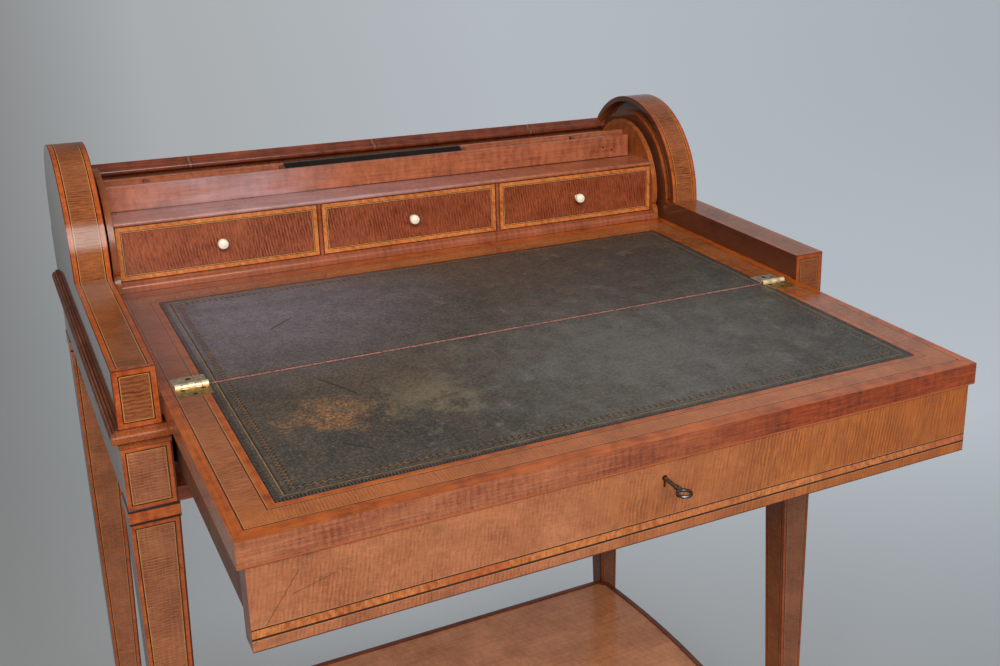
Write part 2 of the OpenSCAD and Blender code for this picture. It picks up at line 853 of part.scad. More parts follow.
// Two upright partitions with rounded front edges
module nest_partitions() {
    r = partition_t / 2;
    color(mahogany) for (s = [-1, 1]) translate([s * bay_pitch / 2, 0, 0]) {
        board(-r, r, small_y, nest_rear - nest_back_t, base_top, bay_top);
        translate([0, small_y, base_top]) cylinder(h = bay_h, r = r);
    }
}

module rack_front() {
    color(mahogany) board(-nest_in, nest_in - rack_short, rack_y, rack_y + rack_t, shelf_z, shelf_z + rack_h);
}

module rack_back() {
    color(mahogany) board(-nest_in, nest_in, rack_back_y, rack_back_y + rack_t, shelf_z,
                          shelf_z + rack_h + 0.5);
}

// Dividers, sloping down from the back board to the front board
module rack_dividers() {
    y1 = rack_y + rack_t;
    color(mahogany) for (s = divider_shares)
        along_x(s * nest_in - rack_t / 2, rack_t)
            polygon([[y1, shelf_z], [rack_back_y, shelf_z], [rack_back_y, shelf_z + rack_h - 1],
                     [rack_back_y - 8, shelf_z + rack_h - 2], [y1, shelf_z + rack_h - 11]]);
}

// A small drawer's parts stand in bay i, counted -1, 0 and 1 from the left
module small_front(i) {
    w = bay_w / 2 - small_play;
    color(satinwood) translate([i * bay_pitch, 0, 0]) difference() {
        board(-w, w, small_y, small_y + small_front_t, base_top + small_play, bay_top - small_play);
        translate([0, small_y - 1, (base_top + bay_top) / 2]) rotate([-90, 0, 0])
            cylinder(h = small_front_t + 2, r = knob_shank_r);
    }
}

module small_sides(i) {
    w = bay_w / 2 - small_play;
    color(oak) translate([i * bay_pitch, 0, 0]) for (side = [-1, 1]) on_side(side)
        board(w - small_side_t, w, small_y + small_front_t, small_rear, base_top + small_play, small_top);
}

module small_back(i) {
    w = bay_w / 2 - small_play - small_side_t;
    color(oak) translate([i * bay_pitch, 0, 0])
        board(-w, w, small_rear - small_side_t, small_rear, base_top + small_play + small_side_t, small_top);
}

module small_bottom(i) {
    w = bay_w / 2 - small_play - small_side_t;
    z1 = base_top + small_play;
    color(oak) translate([i * bay_pitch, 0, 0])
        board(-w, w, small_y + small_front_t, small_rear, z1, z1 + small_side_t);
}

// Turned knob: a shank in the front, a collar, a neck and a domed head
module small_knob(i) {
    r = knob_r;
    s = knob_shank_r;
    color(bone) translate([i * bay_pitch, small_y, (base_top + bay_top) / 2]) rotate([90, 0, 0])
        rotate_extrude($fn = 48) polygon(concat(
            [[0, -small_front_t], [s, -small_front_t], [s, 0], [r * 0.62, 0], [r * 0.62, 1], [s * 1.05, 2.2],
             [s * 1.05, 3.6]],
            [for (a = [-40:20:80]) [r * cos(a), 7.2 + r * 0.85 * sin(a)]],
            [[0, 7.2 + r * 0.85]]
        ));
}

leg(-1, -1);  // leg_front_left
leg(1, -1);  // leg_front_right
leg(-1, 1);  // leg_rear_left
leg(1, 1);  // leg_rear_right
apron(-1);  // apron_left
apron(1);  // apron_right
back_panel();
carcass_bottom();
front_rail();
drawer_runner(-1);  // drawer_runner_left
drawer_runner(1);  // drawer_runner_right
waist_moulding(-1);  // waist_moulding_left
waist_moulding(1);  // waist_moulding_right
undershelf();
undershelf_bead();
cheek(-1);  // cheek_left
cheek(1);  // cheek_right
bed_board();
bed_leather();
flap_board();
flap_leather();
hinge_bed_leaves();
hinge_flap_leaves();
hinge_pins();
hinge_bed_screws();
hinge_flap_screws();
drawer_front();
drawer_side(-1);  // drawer_side_left
drawer_side(1);  // drawer_side_right
drawer_back();
drawer_bottom();
lock_case();
lock_bolt();
key();
cylinder_shell();
cylinder_nosing();
nest_end(-1);  // nest_end_left
nest_end(1);  // nest_end_right
nest_base();
nest_top();
nest_back();
nest_partitions();
rack_front();
rack_back();
rack_dividers();
small_front(-1);  // small_drawer_left_front
small_sides(-1);  // small_drawer_left_sides
small_back(-1);  // small_drawer_left_back
small_bottom(-1);  // small_drawer_left_bottom
small_knob(-1);  // small_drawer_left_knob
small_front(0);  // small_drawer_middle_front
small_sides(0);  // small_drawer_middle_sides
small_back(0);  // small_drawer_middle_back
small_bottom(0);  // small_drawer_middle_bottom
small_knob(0);  // small_drawer_middle_knob
small_front(1);  // small_drawer_right_front
small_sides(1);  // small_drawer_right_sides
small_back(1);  // small_drawer_right_back
small_bottom(1);  // small_drawer_right_bottom
small_knob(1);  // small_drawer_right_knob
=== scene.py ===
import math

import bpy
import numpy as np
from mathutils import Matrix, Vector


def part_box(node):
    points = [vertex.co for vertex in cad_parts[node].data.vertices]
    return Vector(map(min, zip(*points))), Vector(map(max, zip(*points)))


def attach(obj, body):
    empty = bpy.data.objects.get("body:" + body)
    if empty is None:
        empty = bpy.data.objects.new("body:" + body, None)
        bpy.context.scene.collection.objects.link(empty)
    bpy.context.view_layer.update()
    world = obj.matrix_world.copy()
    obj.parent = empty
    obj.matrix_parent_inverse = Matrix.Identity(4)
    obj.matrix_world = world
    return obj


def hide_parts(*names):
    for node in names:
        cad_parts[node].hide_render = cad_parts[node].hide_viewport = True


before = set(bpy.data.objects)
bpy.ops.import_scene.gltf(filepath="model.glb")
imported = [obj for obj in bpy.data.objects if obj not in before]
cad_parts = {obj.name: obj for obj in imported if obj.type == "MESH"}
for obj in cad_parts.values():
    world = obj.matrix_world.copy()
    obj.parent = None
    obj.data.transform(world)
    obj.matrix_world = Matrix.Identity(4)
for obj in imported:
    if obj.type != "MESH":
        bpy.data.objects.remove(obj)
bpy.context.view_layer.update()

MATH = "ShaderNodeMath"
VECTOR = "ShaderNodeVectorMath"
NOISE = "ShaderNodeTexNoise"
RAMP = "ShaderNodeValToRGB"
MIX = "ShaderNodeMix"
RANGE = "ShaderNodeMapRange"
SPLIT = "ShaderNodeSeparateXYZ"
JOIN = "ShaderNodeCombineXYZ"
MAPPING = "ShaderNodeMapping"
COORDINATES = "ShaderNodeTexCoord"

# Woods under old French polish: the dark and the light end of each figure
SATIN = ("#86482a", "#ba7850")
CROSS = ("#5c2814", "#a35f3c")
REDDISH = ("#5c2410", "#aa5c3c")
GOLD = ("#a8521f", "#dd8a48")
ORANGE = ("#8c3813", "#c8682e")
MAHOGANY = ("#4a1a0c", "#8c452a")
OAK = ("#6b4022", "#a5744a")

# Strings of ebony and box let into the veneer, a rubbed arris, old dirt, and a hinge's bright knuckle. The
# ebony colour also paints the shadow line under the flap
EBONY_AND_SHADOW = "#2c140a"
BOX = "#b8844a"
ARRIS = "#54200e"
SOIL = "#4a2312"
KNUCKLE = "#efdcb2"

# What makes up a veneer's tone: the range that its clouds give, the depth of the ripple in the darkest and in
# the palest cloud, the depth of broken stripes and of pores, and by how many radians noise strays the ripple
CLOUD_LOW, CLOUD_HIGH = 0.28, 0.72
RIPPLE_DEEP, RIPPLE_FAINT = 0.40, 0.10
STRIPE_DEPTH = 0.6
PORE_DEPTH = 0.17
STRAY = 9.0

# Cosines that sort the faces: those that look left or right, and those square to an axis
SIDEWAYS = 0.6
SQUARE = 0.7

# Places and widths in millimetres that the nodes' boxes don't give: the writing surface, the hinge's pin and
# the fold between bed and flap, where parts of arm, cheek and leg begin or end, how wide a leg is, and where
# nail holes, plugs and the rack's black lining are
SURFACE = 755.0
HINGE_AXIS = 755.5
SEAM = -84.55
ARM_TOP = 780.0
CHEEK_FOOT = 731.0
MOULD_FOOT = 715.0
BLOCK_FOOT = 661.0
NECK_FOOT = 648.0
NECK = (NECK_FOOT + BLOCK_FOOT) / 2
FOOT_TOP = 30.0
WIDTH_AT_FLOOR = 21.0
WIDTH_AT_NECK = 38.0
NAIL_HOLES = [(255.0, 232.35, 837.0), (267.0, 232.35, 833.0)]
PLUGS = (-199.0, 6.0, 205.0)
LINING_MIDDLE, LINING_HALF = -16.0, 100.0

# Steps in millimetres: the moulding's reeds, the scallops, dashes and hatching tooled into the leather, half
# of a line's soft edge, and a hair's breadth
REED = 4.2
SCALLOP = 10.4
DASH = 5.2
HATCH = 2.4
LINE_BLUR = 0.08
HAIR = 0.02

# Scratches as pairs of ends, across and up the frieze, and across and back on the leather
FRIEZE_SCRATCHES = [((-299.0, 680.0), (-268.0, 725.0)), ((-273.0, 709.0), (-246.0, 716.0)),
                    ((-183.0, 676.0), (-181.0, 699.0))]
LEATHER_CREASES = [((-190.0, -118.0), (-172.0, -160.0)), ((-207.0, -243.0), (-191.0, -262.0)),
                   ((-197.0, 15.0), (-173.0, 38.0))]

# Nodes that are always dressed together
LEGS = ("leg_front_left", "leg_front_right", "leg_rear_left", "leg_rear_right")
CHEEKS = ("cheek_left", "cheek_right")
APRONS = ("apron_left", "apron_right")
MOULDINGS = ("waist_moulding_left", "waist_moulding_right")
BOARDS = ("bed_board", "flap_board")
LEATHERS = ("bed_leather", "flap_leather")
NEST_ENDS = ("nest_end_left", "nest_end_right")
DRAWER_SIDES = ("drawer_side_left", "drawer_side_right")
LEAVES = ("hinge_bed_leaves", "hinge_flap_leaves")
SMALL_DRAWERS = ("left", "middle", "right")


def linear(code):
    """An sRGB hex colour as linear red, green, blue and alpha."""
    parts = [int(code[i:i + 2], 16) / 255 for i in (1, 3, 5)]
    return tuple(p / 12.92 if p <= 0.04045 else ((p + 0.055) / 1.055) ** 2.4 for p in parts) + (1.0,)


def add(tree, kind, inputs=(), out=0, stops=(), **settings):
    """Adds one node. Inputs are a list in the node's own order or a dict by name or number: a socket is
    linked, a hex colour is turned to linear, and anything else is set. Stops are a colour ramp's (place,
    hex colour) pairs. Returns the output socket."""
    node = tree.nodes.new(kind)
    for key, value in settings.items():
        setattr(node, key, value)
    pairs = inputs.items() if isinstance(inputs, dict) else enumerate(inputs)
    for key, value in pairs:
        if isinstance(value, bpy.types.NodeSocket):
            tree.links.new(value, node.inputs[key])
        else:
            node.inputs[key].default_value = linear(value) if isinstance(value, str) else value
    if stops:
        marks = node.color_ramp.elements
        while len(marks) < len(stops):
            marks.new(0.5)
        for mark, (place, code) in zip(marks, stops):
            mark.position = place
            mark.color = linear(code)
    return node.outputs[out]


def material(name):
    """A new material with an empty tree, and the tree."""
    made = bpy.data.materials.new(name)
    made.use_nodes = True
    made.node_tree.nodes.clear()
    return made, made.node_tree


def close(tree, colour, rough, height=None, relief=0.0, **values):
    """Ends a material: a Principled shader with its colour, roughness and a bump of so many metres."""
    inputs = {"Base Color": colour, "Roughness": rough}
    inputs.update({key.replace("_", " "): value for key, value in values.items()})
    if height is not None:
        bump = {"Strength": 1.0, "Distance": relief, "Height": height}
        inputs["Normal"] = add(tree, "ShaderNodeBump", bump)
    shader = add(tree, "ShaderNodeBsdfPrincipled", inputs)
    output = tree.nodes.new("ShaderNodeOutputMaterial")
    tree.links.new(shader, output.inputs["Surface"])


def place_of(tree):
    """Object coordinates in millimetres."""
    place = add(tree, COORDINATES, out="Object")
    return add(tree, VECTOR, {0: place, "Scale": 1000.0}, operation="SCALE")


def facing(tree):
    """How far a face looks along x, y and z, signed, in the object's own frame."""
    return add(tree, SPLIT, [add(tree, COORDINATES, out="Normal")]).node.outputs


def looks_sideways(tree):
    """1 on the faces that look left or right, 0 elsewhere."""
    nx = add(tree, MATH, [facing(tree)[0]], operation="ABSOLUTE")
    return add(tree, MATH, [nx, SIDEWAYS], operation="GREATER_THAN")


def off(tree, value, middle):
    """How far a value lies from middle, to either side."""
    return add(tree, MATH, [add(tree, MATH, [value, middle], operation="SUBTRACT")], operation="ABSOLUTE")


def inside(tree, value, low, high):
    """How far a value lies inside the stretch from low to high, from its nearer end."""
    return add(tree, MATH, [add(tree, MATH, [value, low], operation="SUBTRACT"),
                            add(tree, MATH, [high, value], operation="SUBTRACT")], operation="MINIMUM")


def wave(tree, value, period):
    """A sine wave along a value, one turn in period millimetres."""
    turn = add(tree, MATH, [value, 2 * math.pi / period], operation="MULTIPLY")
    return add(tree, MATH, [turn], operation="SINE")


def tint(tree, colour, paint, part):
    """Lays a paint over a colour. Part is a value, where it starts and ends, and how far the paint covers at
    the start and at the end."""
    return add(tree, MIX, {0: add(tree, RANGE, part), 6: colour, 7: paint}, 2, data_type="RGBA")


def speckle(tree, place, period, detail, rough, shift=(0.0, 0.0, 0.0)):
    """Noise from 0 to 1, whose blobs measure period millimetres along x, y and z."""
    scale = tuple(1.0 / p for p in period)
    moved = add(tree, MAPPING, {"Vector": place, "Scale": scale, "Location": shift})
    return add(tree, NOISE, {"Vector": moved, "Scale": 1.0, "Detail": detail, "Roughness": rough})


def figure(tree, place, dark, light, beat, ripple, grain, ripple_part=0.45, grain_part=0.3):
    """The figure of a polished veneer. A ripple beats along the vector beat, in waves per millimetre, its
    phase strayed a little by noise; broken stripes, the grain's own lines, pores and broad clouds go over
    it. The real pores are a tenth of a millimetre wide; they are drawn at 0.8 mm, and the lines no finer,
    so that they show. Returns the colour and a height for the bump."""
    stray = speckle(tree, place, (12.0, 12.0, 12.0), 3.0, 0.6)
    turn = add(tree, VECTOR, [place, tuple(2 * math.pi * v for v in beat)], 1, operation="DOT_PRODUCT")
    phase = add(tree, MATH, [stray, STRAY, turn], operation="MULTIPLY_ADD")
    stripes = speckle(tree, place, ripple, 4.0, 0.65)
    lines = speckle(tree, place, grain, 4.0, 0.65)
    clouds = speckle(tree, place, (55.0, 55.0, 34.0), 5.0, 0.6)
    pores = speckle(tree, place, (0.8, 0.8, 0.8), 2.0, 0.6)
    depth = add(tree, RANGE, [clouds, 0.38, 0.62, ripple_part * RIPPLE_DEEP, ripple_part * RIPPLE_FAINT])
    stripe_depth = ripple_part * STRIPE_DEPTH
    total = add(tree, RANGE, [clouds, 0.3, 0.7, CLOUD_LOW, CLOUD_HIGH])
    for share in (add(tree, MATH, [add(tree, MATH, [phase], operation="SINE"), depth], operation="MULTIPLY"),
                  add(tree, RANGE, [stripes, 0.3, 0.7, -stripe_depth, stripe_depth]),
                  add(tree, RANGE, [lines, 0.32, 0.68, -grain_part / 2, grain_part / 2]),
                  add(tree, RANGE, [pores, 0.3, 0.7, -PORE_DEPTH, PORE_DEPTH])):
        total = add(tree, MATH, [total, share], operation="ADD")
    total = add(tree, MATH, [total, 0.0], operation="MAXIMUM", use_clamp=True)
    colour = add(tree, MIX, {0: total, 6: dark, 7: light}, 2, data_type="RGBA")
    return colour, add(tree, MATH, [lines, stripes], operation="ADD")


def stroke(tree, place, start, stop, width, axes):
    """How far a scratch covers a face: 1 on the straight line from start to stop, seen along two axes in
    millimetres, and 0 beyond its width."""
    parts = add(tree, SPLIT, [place]).node.outputs
    flat = add(tree, JOIN, [parts[axes[0]], parts[axes[1]], 0.0])
    way = Vector(stop) - Vector(start)
    length = way.length
    way.normalize()
    reach = add(tree, VECTOR, [flat, (start[0], start[1], 0.0)], operation="SUBTRACT")
    along = add(tree, VECTOR, [reach, (way[0], way[1], 0.0)], 1, operation="DOT_PRODUCT")
    along = add(tree, RANGE, [along, 0.0, length, 0.0, length])
    foot = add(tree, VECTOR, {0: (way[0], way[1], 0.0), "Scale": along}, operation="SCALE")
    away = add(tree, VECTOR, [reach, foot], 1, operation="DISTANCE")
    return add(tree, RANGE, [away, width * 0.3, width, 1.0, 0.0])


def scratched(tree, place, colour, paint, strokes, width, strength, axes=(0, 1)):
    """Draws scratches of one colour over another."""
    for start, stop in strokes:
        cut = add(tree, MATH, [stroke(tree, place, start, stop, width, axes), strength], operation="MULTIPLY")
        colour = add(tree, MIX, {0: cut, 6: colour, 7: paint}, 2, data_type="RGBA")
    return colour


def corners(*nodes):
    """The lowest and highest corner of some nodes together, in millimetres."""
    boxes = [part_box(node) for node in nodes]
    low = [min(b[0][i] for b in boxes) * 1000 for i in range(3)]
    high = [max(b[1][i] for b in boxes) * 1000 for i in range(3)]
    return low, high


def edge_of(tree, place, low, high, axes):
    """Distance in millimetres to the nearest edge of a panel, which reaches from low to high along two axes,
    and whether that edge is an end of the first axis."""
    near = add(tree, VECTOR, [place, low], operation="SUBTRACT")
    far = add(tree, VECTOR, [high, place], operation="SUBTRACT")
    least = add(tree, SPLIT, [add(tree, VECTOR, [near, far], operation="MINIMUM")]).node.outputs
    first, second = least[axes[0]], least[axes[1]]
    edge = add(tree, MATH, [first, second], operation="MINIMUM")
    return edge, add(tree, MATH, [first, second], operation="LESS_THAN")


def inlay(tree, edge, bands, field):
    """Lays bands over a field colour: each is (from, to, colour), in millimetres from the panel's edge."""
    colour = field
    for start, stop, paint in bands:
        half = (stop - start) / 2
        away = off(tree, edge, (start + stop) / 2)
        colour = tint(tree, colour, paint, [away, half - LINE_BLUR, half + LINE_BLUR, 1.0, 0.0])
    return colour


def turned(tree, place, upright):
    """place, with x and y changed over where upright is 1, so that a figure goes round a border."""
    x, y, z = add(tree, SPLIT, [place]).node.outputs
    swapped = add(tree, JOIN, [y, x, z])
    return add(tree, MIX, {0: upright, 4: place, 5: swapped}, 1, data_type="VECTOR")


def polish(tree, place, colour, height, rough=0.28, relief=0.00003, coat=0.15, sleek=None, ior=1.45):
    """French polish: a soft gloss, duller in patches, over wood whose grain just shows as relief, with dust
    in patches and fine dark flecks, as two centuries leave them. Where sleek is 1 it is rubbed to a
    mirror."""
    cloud = speckle(tree, place, (28.0, 28.0, 28.0), 6.0, 0.65)
    fleck = speckle(tree, place, (1.6, 1.6, 1.6), 2.0, 0.5, (9.0, 4.0, 2.0))
    dust = add(tree, MATH, [add(tree, RANGE, [cloud, 0.42, 0.70, 0.0, 0.24]),
                            add(tree, RANGE, [fleck, 0.70, 0.78, 0.0, 0.5])], operation="MAXIMUM")
    patch = speckle(tree, place, (30.0, 30.0, 30.0), 4.0, 0.6)
    dull = add(tree, RANGE, [patch, 0.3, 0.7, rough - 0.06, rough + 0.10])
    if sleek:
        dull = add(tree, MATH, [dull, add(tree, RANGE, [sleek, 0.0, 1.0, 1.0, 0.3])], operation="MULTIPLY")
    soiled = add(tree, MIX, {0: dust, 6: colour, 7: SOIL}, 2, data_type="RGBA")
    close(tree, soiled, dull, height, relief, Coat_Weight=coat, Coat_Roughness=0.14, IOR=ior)


def solid_wood(name, pair, beat, ripple, grain, ripple_part, grain_part, rough=0.32):
    """Polished solid wood with its figure in object coordinates."""
    made, tree = material(name)
    place = place_of(tree)
    colour, height = figure(tree, place, *pair, beat, ripple, grain, ripple_part, grain_part)
    polish(tree, place, colour, height, rough)
    return made


def leg_wood():
    """Legs: a rippled panel on each face inside box and ebony strings and an orange edge, with a cross band
    at the neck and a dark foot. The panel's width follows the taper. Faces that look sideways are rubbed to
    a mirror, and the right legs are painted darker, as shade under the desk."""
    made, tree = material("satinwood_legs_strung")
    place = place_of(tree)
    x, y, z = add(tree, SPLIT, [place]).node.outputs
    low, high = corners("leg_front_left", "leg_rear_right")
    middle = (low[1] + high[1]) / 2
    from_side = add(tree, MATH, [high[0], add(tree, MATH, [x], operation="ABSOLUTE")], operation="SUBTRACT")
    from_front = add(tree, MATH, [high[1] - middle, off(tree, y, middle)], operation="SUBTRACT")
    sideways = looks_sideways(tree)
    across = add(tree, MIX, {0: sideways, 2: from_side, 3: from_front})
    width = add(tree, RANGE, [z, 0.0, NECK_FOOT, WIDTH_AT_FLOOR, WIDTH_AT_NECK])
    far = add(tree, MATH, [width, across], operation="SUBTRACT")
    side = add(tree, MATH, [across, far], operation="MINIMUM")
    above = add(tree, MATH, [z, NECK], operation="GREATER_THAN")
    end = add(tree, MIX, {0: above, 2: inside(tree, z, FOOT_TOP, NECK_FOOT),
                          3: inside(tree, z, BLOCK_FOOT, MOULD_FOOT)})
    edge = add(tree, MATH, [side, end], operation="MINIMUM")
    field, height = figure(tree, place, "#6c3820", "#b8754e", (0.0, 0.0, 0.4), (10.0, 10.0, 1.2),
                           (1.2, 1.2, 40.0))
    band, _ = figure(tree, place, *ORANGE, (0.1, 0.1, 0.0), (12.0, 12.0, 3.0), (1.2, 1.2, 60.0))
    colour = inlay(tree, edge, [(-60.0, 3.6, band), (-60.0, 0.7, ARRIS), (3.6, 4.6, EBONY_AND_SHADOW), (4.6, 5.2, BOX)],
                   field)
    colour = inlay(tree, off(tree, z, NECK), [(0.0, 4.6, band), (4.6, 6.6, EBONY_AND_SHADOW)], colour)
    # Painted shade: the right legs darken toward x = 300 mm, for the shade under the desk.
    colour = tint(tree, colour, "#2c0e04", [x, 150.0, 300.0, 0.0, 0.32])
    polish(tree, place, colour, height, sleek=sideways)
    return made


def cheek_wood():
    """Cheeks: on the arm's top, the arch and the arm's front end a cross-rippled band between box and ebony
    strings and orange edges, with painted shade on the right arm's end; on the flat sides long-grained
    veneer, rubbed to a mirror."""
    made, tree = material("satinwood_cheeks_banded")
    place = place_of(tree)
    x, y, z = add(tree, SPLIT, [place]).node.outputs
    low, high = corners("cheek_right")
    side = inside(tree, add(tree, MATH, [x], operation="ABSOLUTE"), low[0], high[0])
    front = add(tree, MATH, [facing(tree)[1], -SQUARE], operation="LESS_THAN")
    under = add(tree, MATH, [z, ARM_TOP - HAIR], operation="LESS_THAN")
    front = add(tree, MATH, [front, under], operation="MULTIPLY")
    end = add(tree, MIX, {0: front, 2: add(tree, MATH, [y, low[1]], operation="SUBTRACT"),
                          3: inside(tree, z, CHEEK_FOOT, ARM_TOP)})
    edge = add(tree, MATH, [side, end], operation="MINIMUM")
    field, height = figure(tree, place, "#5c2a12", "#ab673c", (0.0, 0.28, 0.28), (9.0, 1.3, 1.3),
                           (40.0, 1.6, 1.6))
    band, _ = figure(tree, place, *ORANGE, (0.1, 0.0, 0.0), (12.0, 4.0, 4.0), (1.2, 60.0, 60.0))
    banded = inlay(tree, edge, [(-5.0, 4.6, band), (-5.0, 0.7, ARRIS), (4.6, 5.5, EBONY_AND_SHADOW), (5.5, 6.1, BOX)],
                   field)
    # Painted shade: the band on the right arm's front end darkens toward the right.
    shaded_right_end = add(tree, MATH, [front, x], operation="MULTIPLY")
    banded = tint(tree, banded, "#5a2008", [shaded_right_end, 0.0, 300.0, 0.0, 0.4])
    flat, _ = figure(tree, place, "#4a2414", "#74422a", (0.0, 0.05, 0.1), (9.0, 30.0, 9.0),
                     (1.6, 110.0, 1.6), 0.1, 0.2)
    sideways = looks_sideways(tree)
    height = add(tree, MATH, [height, add(tree, MATH, [1.0, sideways], operation="SUBTRACT")],
                 operation="MULTIPLY")
    colour = add(tree, MIX, {0: sideways, 6: banded, 7: flat}, 2, data_type="RGBA")
    polish(tree, place, colour, height, 0.14, coat=0.0, sleek=sideways, ior=1.38)
    return made


def frieze_wood():
    """Frieze drawer front: upright ripple that leans a little, finer at the left and in golden bars at the
    right, painted a deeper orange toward the right as shade, with darker clouds and a few scratches. Below it
    thin box and ebony lines close in an orange band that is pieced from two woods. The top edge is a dark
    line painted as the shadow under the flap, and the lower arris is rubbed dark."""
    made, tree = material("satinwood_frieze_rippled")
    place = place_of(tree)
    x, _, z = add(tree, SPLIT, [place]).node.outputs
    down = add(tree, MATH, [corners("drawer_front")[1][2], z], operation="SUBTRACT")
    lean = add(tree, MAPPING, {"Vector": place, "Rotation": (0.0, math.radians(-9), 0.0)})
    field, height = figure(tree, lean, *SATIN, (0.34, 0.0, 0.0), (1.1, 60.0, 7.0), (7.0, 60.0, 1.2),
                           0.42, 0.3)
    barred, _ = figure(tree, lean, "#6c3208", "#c2762e", (0.31, 0.0, 0.0), (1.3, 60.0, 22.0),
                       (0.8, 60.0, 9.0), 1.0, 0.3)
    bars = add(tree, MATH, [speckle(tree, place, (60.0, 60.0, 40.0), 3.0, 0.6), 300.0, x],
               operation="MULTIPLY_ADD")
    field = tint(tree, field, barred, [bars, 60.0, 330.0, 0.0, 0.85])
    shadow = speckle(tree, place, (18.0, 60.0, 9.0), 8.0, 0.7, (1.0, 0.0, 5.0))
    field = tint(tree, field, "#6e4a34", [shadow, 0.52, 0.72, 0.0, 0.55])
    # Painted shade: the field turns a deeper, darker orange toward the right, where less light and sheen
    # fall.
    field = tint(tree, field, "#984806", [x, -100.0, 300.0, 0.0, 0.55])
    field = scratched(tree, place, field, "#4c2814", FRIEZE_SCRATCHES, 0.55, 0.6, (0, 2))
    band, _ = figure(tree, lean, "#92461c", "#cb7e43", (0.12, 0.0, 0.10), (5.0, 20.0, 5.0), (1.4, 8.0, 9.0),
                     0.5, 0.7)
    pieces = speckle(tree, place, (70.0, 500.0, 500.0), 0.0, 0.5, (4.0, 0.0, 0.0))
    band = tint(tree, band, "#a24a24", [pieces, 0.50, 0.53, 0.0, 0.5])
    string = "#b07c50"
    # Painted shadow: the dark line at the top edge, from -2.0 to 0.9 mm, is the shade under the flap's
    # overhang.
    colour = inlay(tree, down, [(-2.0, 0.9, EBONY_AND_SHADOW), (44.5, 44.9, string), (44.9, 45.9, EBONY_AND_SHADOW),
                                (45.9, 51.5, band), (51.5, 53.1, EBONY_AND_SHADOW), (53.1, 53.5, string),
                                (60.6, 63.0, ARRIS)], field)
    face = add(tree, MATH, [facing(tree)[1], -SQUARE], operation="LESS_THAN")
    rest, _ = figure(tree, place, *MAHOGANY, (0.0, 0.05, 0.05), (40.0, 8.0, 8.0), (120.0, 1.6, 1.6))
    colour = add(tree, MIX, {0: face, 6: rest, 7: colour}, 2, data_type="RGBA")
    polish(tree, place, colour, height)
    return made


def border_wood():
    """Border of bed and flap: round the leather an orange band, box and ebony strings, a cross-rippled band,
    another pair of strings and a broad orange band at the edge, all mitred. Near the flap's front the cross
    band is painted a deeper orange to cancel the pale reflection there. A painted violet sheen lies on its
    left rear corner and a dark joint at the nest's foot. The edges are streaked mahogany, painted darker and
    redder to the right as shade, with an orange line at the foot. The flap's underside, which is the top of
    the closed desk, has the same bands round a satinwood field."""
    made, tree = material("satinwood_border_mitred")
    place = place_of(tree)
    x, y, z = add(tree, SPLIT, [place]).node.outputs
    edge, upright = edge_of(tree, place, *corners(*LEATHERS), (0, 1))
    out = add(tree, MATH, [edge, -1.0], operation="MULTIPLY")
    along = turned(tree, place, upright)
    field, height = figure(tree, along, "#74391a", "#bb7244", (0.42, 0.0, 0.0), (1.2, 9.0, 9.0),
                           (0.9, 30.0, 30.0), 0.6, 0.3)
    # Painted against light: the cross band turns deeper orange near the flap's front, to cancel the pale
    # reflection there.
    field = tint(tree, field, "#bc6828", [y, -285.0, -312.0, 0.0, 0.4])
    band, _ = figure(tree, along, "#86380a", "#cc6820", (0.05, 0.0, 0.0), (20.0, 6.0, 6.0), (100.0, 1.2, 1.2),
                     0.4, 0.5)
    top = inlay(tree, out, [(-9.0, 5.4, band), (5.4, 5.9, BOX), (5.9, 6.7, EBONY_AND_SHADOW), (24.3, 24.8, BOX),
                            (24.8, 25.7, EBONY_AND_SHADOW), (25.7, 80.0, band)], field)
    top = inlay(tree, off(tree, y, corners("nest_base")[0][1]), [(-1.0, 1.5, "#34140a")], top)
    # Painted sheen: a violet reflection round the bed's left rear corner.
    away = add(tree, VECTOR, [place, (-300.0, 90.0, SURFACE)], 1, operation="DISTANCE")
    top = tint(tree, top, "#5f4348", [away, 60.0, 260.0, 0.55, 0.0])
    rest, _ = figure(tree, place, "#763a24", "#b4704c", (0.2, 0.2, 0.0), (2.2, 2.2, 9.0), (26.0, 26.0, 1.1),
                     0.28, 0.6)
    # Painted shade: the edges grow darker and redder toward the right.
    shaded_red, _ = figure(tree, place, "#521b04", "#9c3f0a", (0.1, 0.1, 0.0), (3.0, 3.0, 9.0), (26.0, 26.0, 1.1),
                    0.3, 0.8)
    rest = tint(tree, rest, shaded_red, [x, -120.0, 120.0, 0.0, 0.95])
    foot = add(tree, MATH, [z, corners("flap_board")[0][2]], operation="SUBTRACT")
    rest = inlay(tree, foot, [(-1.0, 1.2, "#a8562a")], rest)
    rim, _ = edge_of(tree, place, *corners("flap_board"), (0, 1))
    veneer, _ = figure(tree, place, *SATIN, (0.22, 0.0, 0.0), (2.0, 26.0, 26.0), (100.0, 1.3, 1.3), 0.5, 0.4)
    fold = inlay(tree, rim, [(-5.0, 5.0, band), (5.0, 5.8, EBONY_AND_SHADOW), (5.8, 6.4, BOX), (6.4, 24.0, field),
                             (24.0, 24.6, BOX), (24.6, 25.4, EBONY_AND_SHADOW)], veneer)
    nz = facing(tree)[2]
    upward = add(tree, MATH, [nz, SQUARE], operation="GREATER_THAN")
    downward = add(tree, MATH, [nz, -SQUARE], operation="LESS_THAN")
    colour = add(tree, MIX, {0: upward, 6: rest, 7: top}, 2, data_type="RGBA")
    colour = add(tree, MIX, {0: downward, 6: colour, 7: fold}, 2, data_type="RGBA")
    sleek = add(tree, MATH, [upward, 0.55], operation="MULTIPLY")
    polish(tree, place, colour, height, 0.24, sleek=sleek)
    return made


